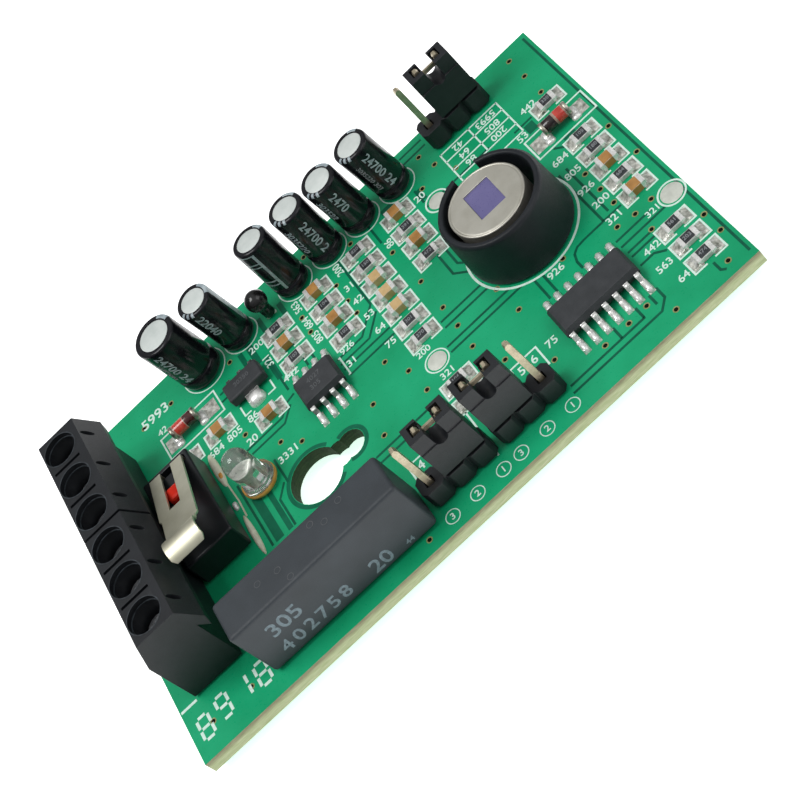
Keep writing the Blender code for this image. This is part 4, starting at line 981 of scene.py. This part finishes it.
def tracks(shape):
    def track(points, width):
        ribbon(shape, points, width, TRACK_HEIGHT, UNDER - TRACK_HEIGHT)

    for v in WAYS_V:
        track([(CONTACT_U, v), (9.6, v), (10.8, v + 1.0)], 0.5)
    for u in CAPACITORS_U:
        near, far = u - CAPACITOR_LEAD, u + CAPACITOR_LEAD
        track([(near, CAPACITOR_V), (near, 35.5), (u + 1.2, 33.2)], 0.4)
        track([(far, CAPACITOR_V), (far, 36.5), (u + 3.0, 34.0), (u + 3.0, 30.0)], 0.4)
    for v in (9.0 + step * 0.9 for step in range(5)):
        track([(26.0, v), (44.0, v), (46.0, v + 2.0), (60.0, v + 2.0)], 0.28)


piece("lead_solder", cones, "solder", smooth=50)
piece("lead_pads", annuli, "tinned_pad_painted_reflection")
piece("back_tracks", tracks, "clearance_line")


# The parts' own details

CAN_HEIGHT = 7.8
# The roll at a sleeve's upper edge, and the level of the can's end inside it
ROLL = 0.3
SUNK = 7.66

# Rows of plain numbers on the cans: text, size, index, degrees round it, height of the middle
CAN_NUMBERS = (
    ("capacitor_numbers", "sleeve_print", (
        ("24700 24", 1.35, 0, -118, 4.6), ("22040", 1.35, 1, -112, 5.4), ("24700 2", 1.35, 3, -86, 4.1),
        ("3035220", 1.05, 3, -138, 4.5), ("2470", 1.35, 4, -92, 5.3), ("303522", 1.05, 4, -140, 5.0),
        ("24700 24", 1.3, 5, -82, 4.4),
    )),
    ("capacitor_small_numbers", "number_print", (
        ("3035 2203", 0.7, 0, -142, 4.4), ("3035220 303", 0.75, 5, -122, 4.3),
    )),
)


def leaning(index):
    """Turns a can's upright points to its own lean."""
    _, lean_u, lean_v = CANS[index]
    foot = Matrix.Translation(at(CAPACITORS_U[index], CAPACITOR_V))
    tilt = Euler((-math.atan(lean_v / CAN_HEIGHT), math.atan(lean_u / CAN_HEIGHT), 0))
    return foot @ tilt.to_matrix().to_4x4() @ foot.inverted()


def shoulder(radius):
    """The sleeve's rolled upper edge."""
    return [(radius - ROLL + out, height) for out, height in arc(ROLL, CAN_HEIGHT - ROLL, range(0, 91, 15))]


def can_profile(radius):
    """A sleeve with its crimped bead, its roll and the sunk aluminium's edge."""
    bead_at = 0.6 + radius / 2
    foot, bead_foot = (radius, 0.6), (radius, bead_at - 0.26)
    profile = [(0.02, 0.3), (radius - 0.3, 0.3), (radius - 0.08, 0.38), foot, bead_foot]
    for step in range(1, 8):
        share = step / 8
        profile.append((radius - 0.13 * math.sin(math.pi * share), bead_at - 0.26 + 0.52 * share))
    profile += [(radius, bead_at + 0.26), *shoulder(radius)]
    return [*profile, (radius * 0.76, CAN_HEIGHT - 0.02), (radius * 0.74, SUNK), (0.02, SUNK)]


def print_patch(shape, index, start, end, line):
    """A printed strip from start to end degrees round a can, down the line of (radius, height)."""
    steps = max(2, int((end - start) / 6))
    rings = []
    for step in range(steps + 1):
        angle = math.radians(start + (end - start) * step / steps)
        c, s = math.cos(angle), math.sin(angle)
        outer = [(radius + 0.014, height + 0.014) for radius, height in line]
        inner = [(radius - 0.03, height - 0.03) for radius, height in reversed(line)]
        rings.append([
            leaning(index) @ at(CAPACITORS_U[index] + radius * c, CAPACITOR_V + radius * s, height)
            for radius, height in outer + inner
        ])
    loft(shape, rings)


def on_can(index, degrees, height):
    """Places figures round a can, reading down it, with their tops towards greater angles."""
    radius = CANS[index][0]

    def where(x, y, z):
        turn = math.radians(degrees) + y / radius
        reach = radius + 0.006 + z
        u = CAPACITORS_U[index] + reach * math.cos(turn)
        return leaning(index) @ at(u, CAPACITOR_V + reach * math.sin(turn), height - x)

    return where


def sleeve_of(index):
    def build(shape):
        turned(shape, CAPACITORS_U[index], CAPACITOR_V, can_profile(CANS[index][0]), 56, leaning(index))
    return build


def tops(shape):
    for index, (radius, _, _) in enumerate(CANS):
        profile = [(radius * 0.72, 7.65), (radius * 0.72, 7.7), (radius * 0.66, 7.735), (0.02, 7.75)]
        turned(shape, CAPACITORS_U[index], CAPACITOR_V, profile, 48, leaning(index))


def prints(shape):
    def rim(index, start, end, low):
        radius = CANS[index][0]
        print_patch(shape, index, start, end, [(radius, low), *shoulder(radius), (radius * 0.78, 7.785)])

    def side(index, start, end, low, high):
        radius = CANS[index][0]
        print_patch(shape, index, start, end, [(radius, low), (radius, high)])

    for index, start, end, low in (
        (0, 12, 52, 7.45), (1, -22, 42, 1.9), (2, 5, 45, 5.4), (3, 22, 70, 7.45), (4, 10, 62, 7.45),
        (5, 30, 66, 7.45),
    ):
        rim(index, start, end, low)
    for index in (1, 3, 4, 5):
        for start in (-158, -140, -122):
            rim(index, start, start + 9, 7.5)
    for start, width in ((-113, 9), (-165, 8)):
        side(2, start, start + width, 1.6, 7.4)
    for low in (7.25, 6.0, 5.5, 3.1, 2.5):
        side(2, -162, -108, low, low + 0.16)


for index in range(len(CANS)):
    made = piece(f"capacitor_{index + 1}_sleeve", sleeve_of(index), "capacitor_sleeve", smooth=45)
    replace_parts(made, f"capacitor_{index + 1}")
piece("capacitor_tops", tops, "can_top", smooth=40)
piece("capacitor_prints", prints, "sleeve_print", smooth=50)
for name, finish, rows in CAN_NUMBERS:
    placed_rows = [(text, size, on_can(*place)) for text, size, *place in rows]
    numbers(name, placed_rows, finish, bent=True)


# A worn rim round each screw well, and a narrow ledge inside it
def rims(shape):
    for v in WAYS_V:
        for radius, width, height, base in ((1.91, 0.09, 0.03, 9.99), (1.85, 0.14, 0.08, 9.35)):
            ribbon(shape, circle(WELL_U, v, radius, 40), width, height, base, closed=True)


piece("well_rims", rims, "worn_plastic", smooth=30)


def lens(shape):
    flange = [(0.02, 0.3), (1.9, 0.3), (1.95, 0.36), (1.95, 1.1), (1.88, 1.19), (1.56, 1.21), (1.5, 1.3)]
    turned(shape, *LED, flange + arc(1.5, 4.1, range(0, 90, 8)), 48, flat=1.65)


def leadframe(shape):
    u, v = LED
    cup = [(0.3, 0.45), (0.3, 2.0), (0.75, 2.6), (0.92, 3.2), (0.8, 3.2), (0.35, 2.85)]
    turned(shape, u - 0.35, v, cup, 24)
    block(shape, (u + 0.55, v - 0.3, 0.35), (u + 0.85, v + 0.3, 2.9), 0.05)
    block(shape, (u + 0.25, v - 0.25, 2.7), (u + 0.9, v + 0.25, 3.0), 0.05)
    for side in (-PIN_PITCH / 2, PIN_PITCH / 2):
        block(shape, (u + side - 0.25, v - 0.25, -0.02), (u + side + 0.25, v + 0.25, 0.3))


def led_rim(shape):
    hoop(shape, *LED, 1.84, 0.56, 0.19, 0.32, 44, 128, 284.0)


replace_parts(piece("led_lens", lens, "clear_resin", smooth=35), "led")
piece("led_leadframe", leadframe, "tinned_lead", smooth=40)
piece("led_rim", led_rim, "amber_rim", smooth=50)


# Half of a diode's barrel and its metal cap: radius, distance from the middle
HALF_BARREL = [(0.7, 0.0), (0.7, 1.2), (0.67, 1.27), (0.72, 1.3), (0.755, 1.34), (0.755, 1.6), (0.7, 1.68),
               (0.02, 1.7)]
BARREL_HEIGHT = 1.06


def diode(name, u, v, bands):
    """A glass barrel with a metal cap at each end, finer than the solid that it replaces."""
    profile = [(radius, BARREL_HEIGHT - run) for radius, run in reversed(HALF_BARREL)]
    profile += [(radius, BARREL_HEIGHT + run) for radius, run in HALF_BARREL[1:]]
    centre = Matrix.Translation(at(u, v, BARREL_HEIGHT))
    lying = centre @ Matrix.Rotation(math.radians(90), 4, "Y") @ centre.inverted()

    def barrel(shape):
        turned(shape, u, v, profile, 36, lying)

    diode_finish(f"{name}_glass", u, bands)
    made = piece(f"{name}_barrel", barrel, f"{name}_glass", smooth=50)
    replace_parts(made, name)


diode("diode_1", *DIODES[0], [(-1.1, 0.15, *GLASS_RED), (0.25, 1.3, *GLASS_DARK)])
diode("diode_2", *DIODES[1], [(0.15, 1.1, *GLASS_RED), (-1.3, -0.1, *GLASS_BLACK)])


def window_seal(shape):
    low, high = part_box("sensor_window")
    u0, v0 = low.x / MM + LENGTH / 2, low.y / MM + WIDTH / 2
    u1, v1 = high.x / MM + LENGTH / 2, high.y / MM + WIDTH / 2
    h = high.z / MM - THICKNESS
    outline = rectangle(u0 - 0.07, v0 - 0.07, u1 + 0.07, v1 + 0.07)
    ribbon(shape, outline, 0.15, 0.26, h - 0.25, closed=True)


def can_edge(shape):
    hoop(shape, SENSOR[0] - 0.25, SENSOR[1], 3.96, 5.88, 0.16, 0.16, 64)


piece("sensor_window_seal", window_seal, "infrared_filter")
piece("sensor_can_edge", can_edge, "sensor_can_metal", smooth=60)


def drop(shape):
    profile = [(0.02, 0.3), (0.6, 0.3), (0.66, 0.4), (0.66, 1.2), (0.72, 1.6)]
    profile += [(max(radius, 0.02), height) for radius, height in arc(1.2, 2.7, range(-50, 91, 10))]
    turned(shape, *THERMISTOR, profile, 32)


def leads(shape):
    for side in (-0.4, 0.4):
        disc(shape, THERMISTOR[0] + side, THERMISTOR[1], 0.25, -0.02, 0.5, 10)


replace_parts(piece("thermistor_bead", drop, "thermistor_bead", smooth=60), "thermistor")
piece("thermistor_leads", leads, "tinned_lead")


# The ejector marks on the relay's top, as (u, v)
EJECTORS = ((25.21, 5.42), (23.14, 4.67), (21.9, 5.59), (18.0, 2.63), (15.05, 4.67), (17.26, 4.25))


def ejectors(shape):
    for u, v in EJECTORS:
        ribbon(shape, circle(u, v, 0.33, 20), 0.06, 0.014, 7.4, closed=True)


piece("relay_ejector_marks", ejectors, "faint_print")


# Floor, lights and camera


def build_world():
    """A studio that is bright overhead and dimmer towards the horizon."""
    world = bpy.data.worlds.new("studio")
    bpy.context.scene.world = world
    world.use_nodes = True
    tree = world.node_tree
    place = tree.nodes.new("ShaderNodeTexCoord")
    split = tree.nodes.new("ShaderNodeSeparateXYZ")
    ramp = tree.nodes.new("ShaderNodeValToRGB")
    tree.links.new(place.outputs["Generated"], split.inputs[0])
    tree.links.new(split.outputs["Z"], ramp.inputs["Fac"])
    low, high = ramp.color_ramp.elements
    low.position, low.color = 0.45, (0.3, 0.31, 0.32, 1)
    high.position, high.color = 0.95, (0.82, 0.83, 0.84, 1)
    tree.links.new(ramp.outputs["Color"], tree.nodes["Background"].inputs["Color"])
    tree.nodes["Background"].inputs["Strength"].default_value = 0.8


def build_stage():
    rest = Matrix.Translation((0, 0, CAD_BOX[0][2] - 0.00005))
    shape = bmesh.new()
    bmesh.ops.create_grid(shape, x_segments=8, y_segments=8, size=1.5, matrix=rest)
    mesh = bpy.data.meshes.new("floor")
    shape.to_mesh(mesh)
    shape.free()
    paper = Shader("pale_floor")
    paper.set(Emission_Color=(1.0, 1.0, 1.0, 1), Emission_Strength=0.75, Specular_IOR_Level=0.1)
    tooth = paper.noise(0.3)
    colour = paper.ramp(tooth, (0.88, 0.88, 0.88), (0.92, 0.92, 0.92))
    paper.finish(colour, paper.spread(tooth, 0.8, 0.9), tooth, 0.002)
    mesh.materials.append(FINISHES["pale_floor"])
    floor = placed("floor", mesh)

    def light(name, place, size, power):
        lamp = bpy.data.lights.new(name, "AREA")
        lamp.size = size
        lamp.energy = power
        obj = placed(name, lamp)
        obj.location = place
        obj.rotation_euler = (-Vector(place)).to_track_quat("-Z", "Y").to_euler()

    light("key", (-0.16, 0.02, 0.4), 0.22, 1.0)
    light("fill", (0.32, -0.22, 0.3), 0.3, 0.45)


CAMERA_PLACE = (0.021581, -0.134419, 0.128419)
CAMERA_TURN = (34.92965, 34.03618, -29.59073)
CAMERA_LENS = 88.578
CAMERA_SHIFT = (0.037938, -0.035283)


def build_camera():
    lens = bpy.data.cameras.new("camera")
    lens.sensor_width = 36
    lens.lens = CAMERA_LENS
    lens.shift_x, lens.shift_y = CAMERA_SHIFT
    lens.clip_start = 0.01
    camera = placed("camera", lens)
    camera.location = CAMERA_PLACE
    camera.rotation_euler = [math.radians(angle) for angle in CAMERA_TURN]
    bpy.context.scene.camera = camera


build_world()
build_stage()
build_camera()
bpy.context.scene.view_settings.view_transform = "Standard"
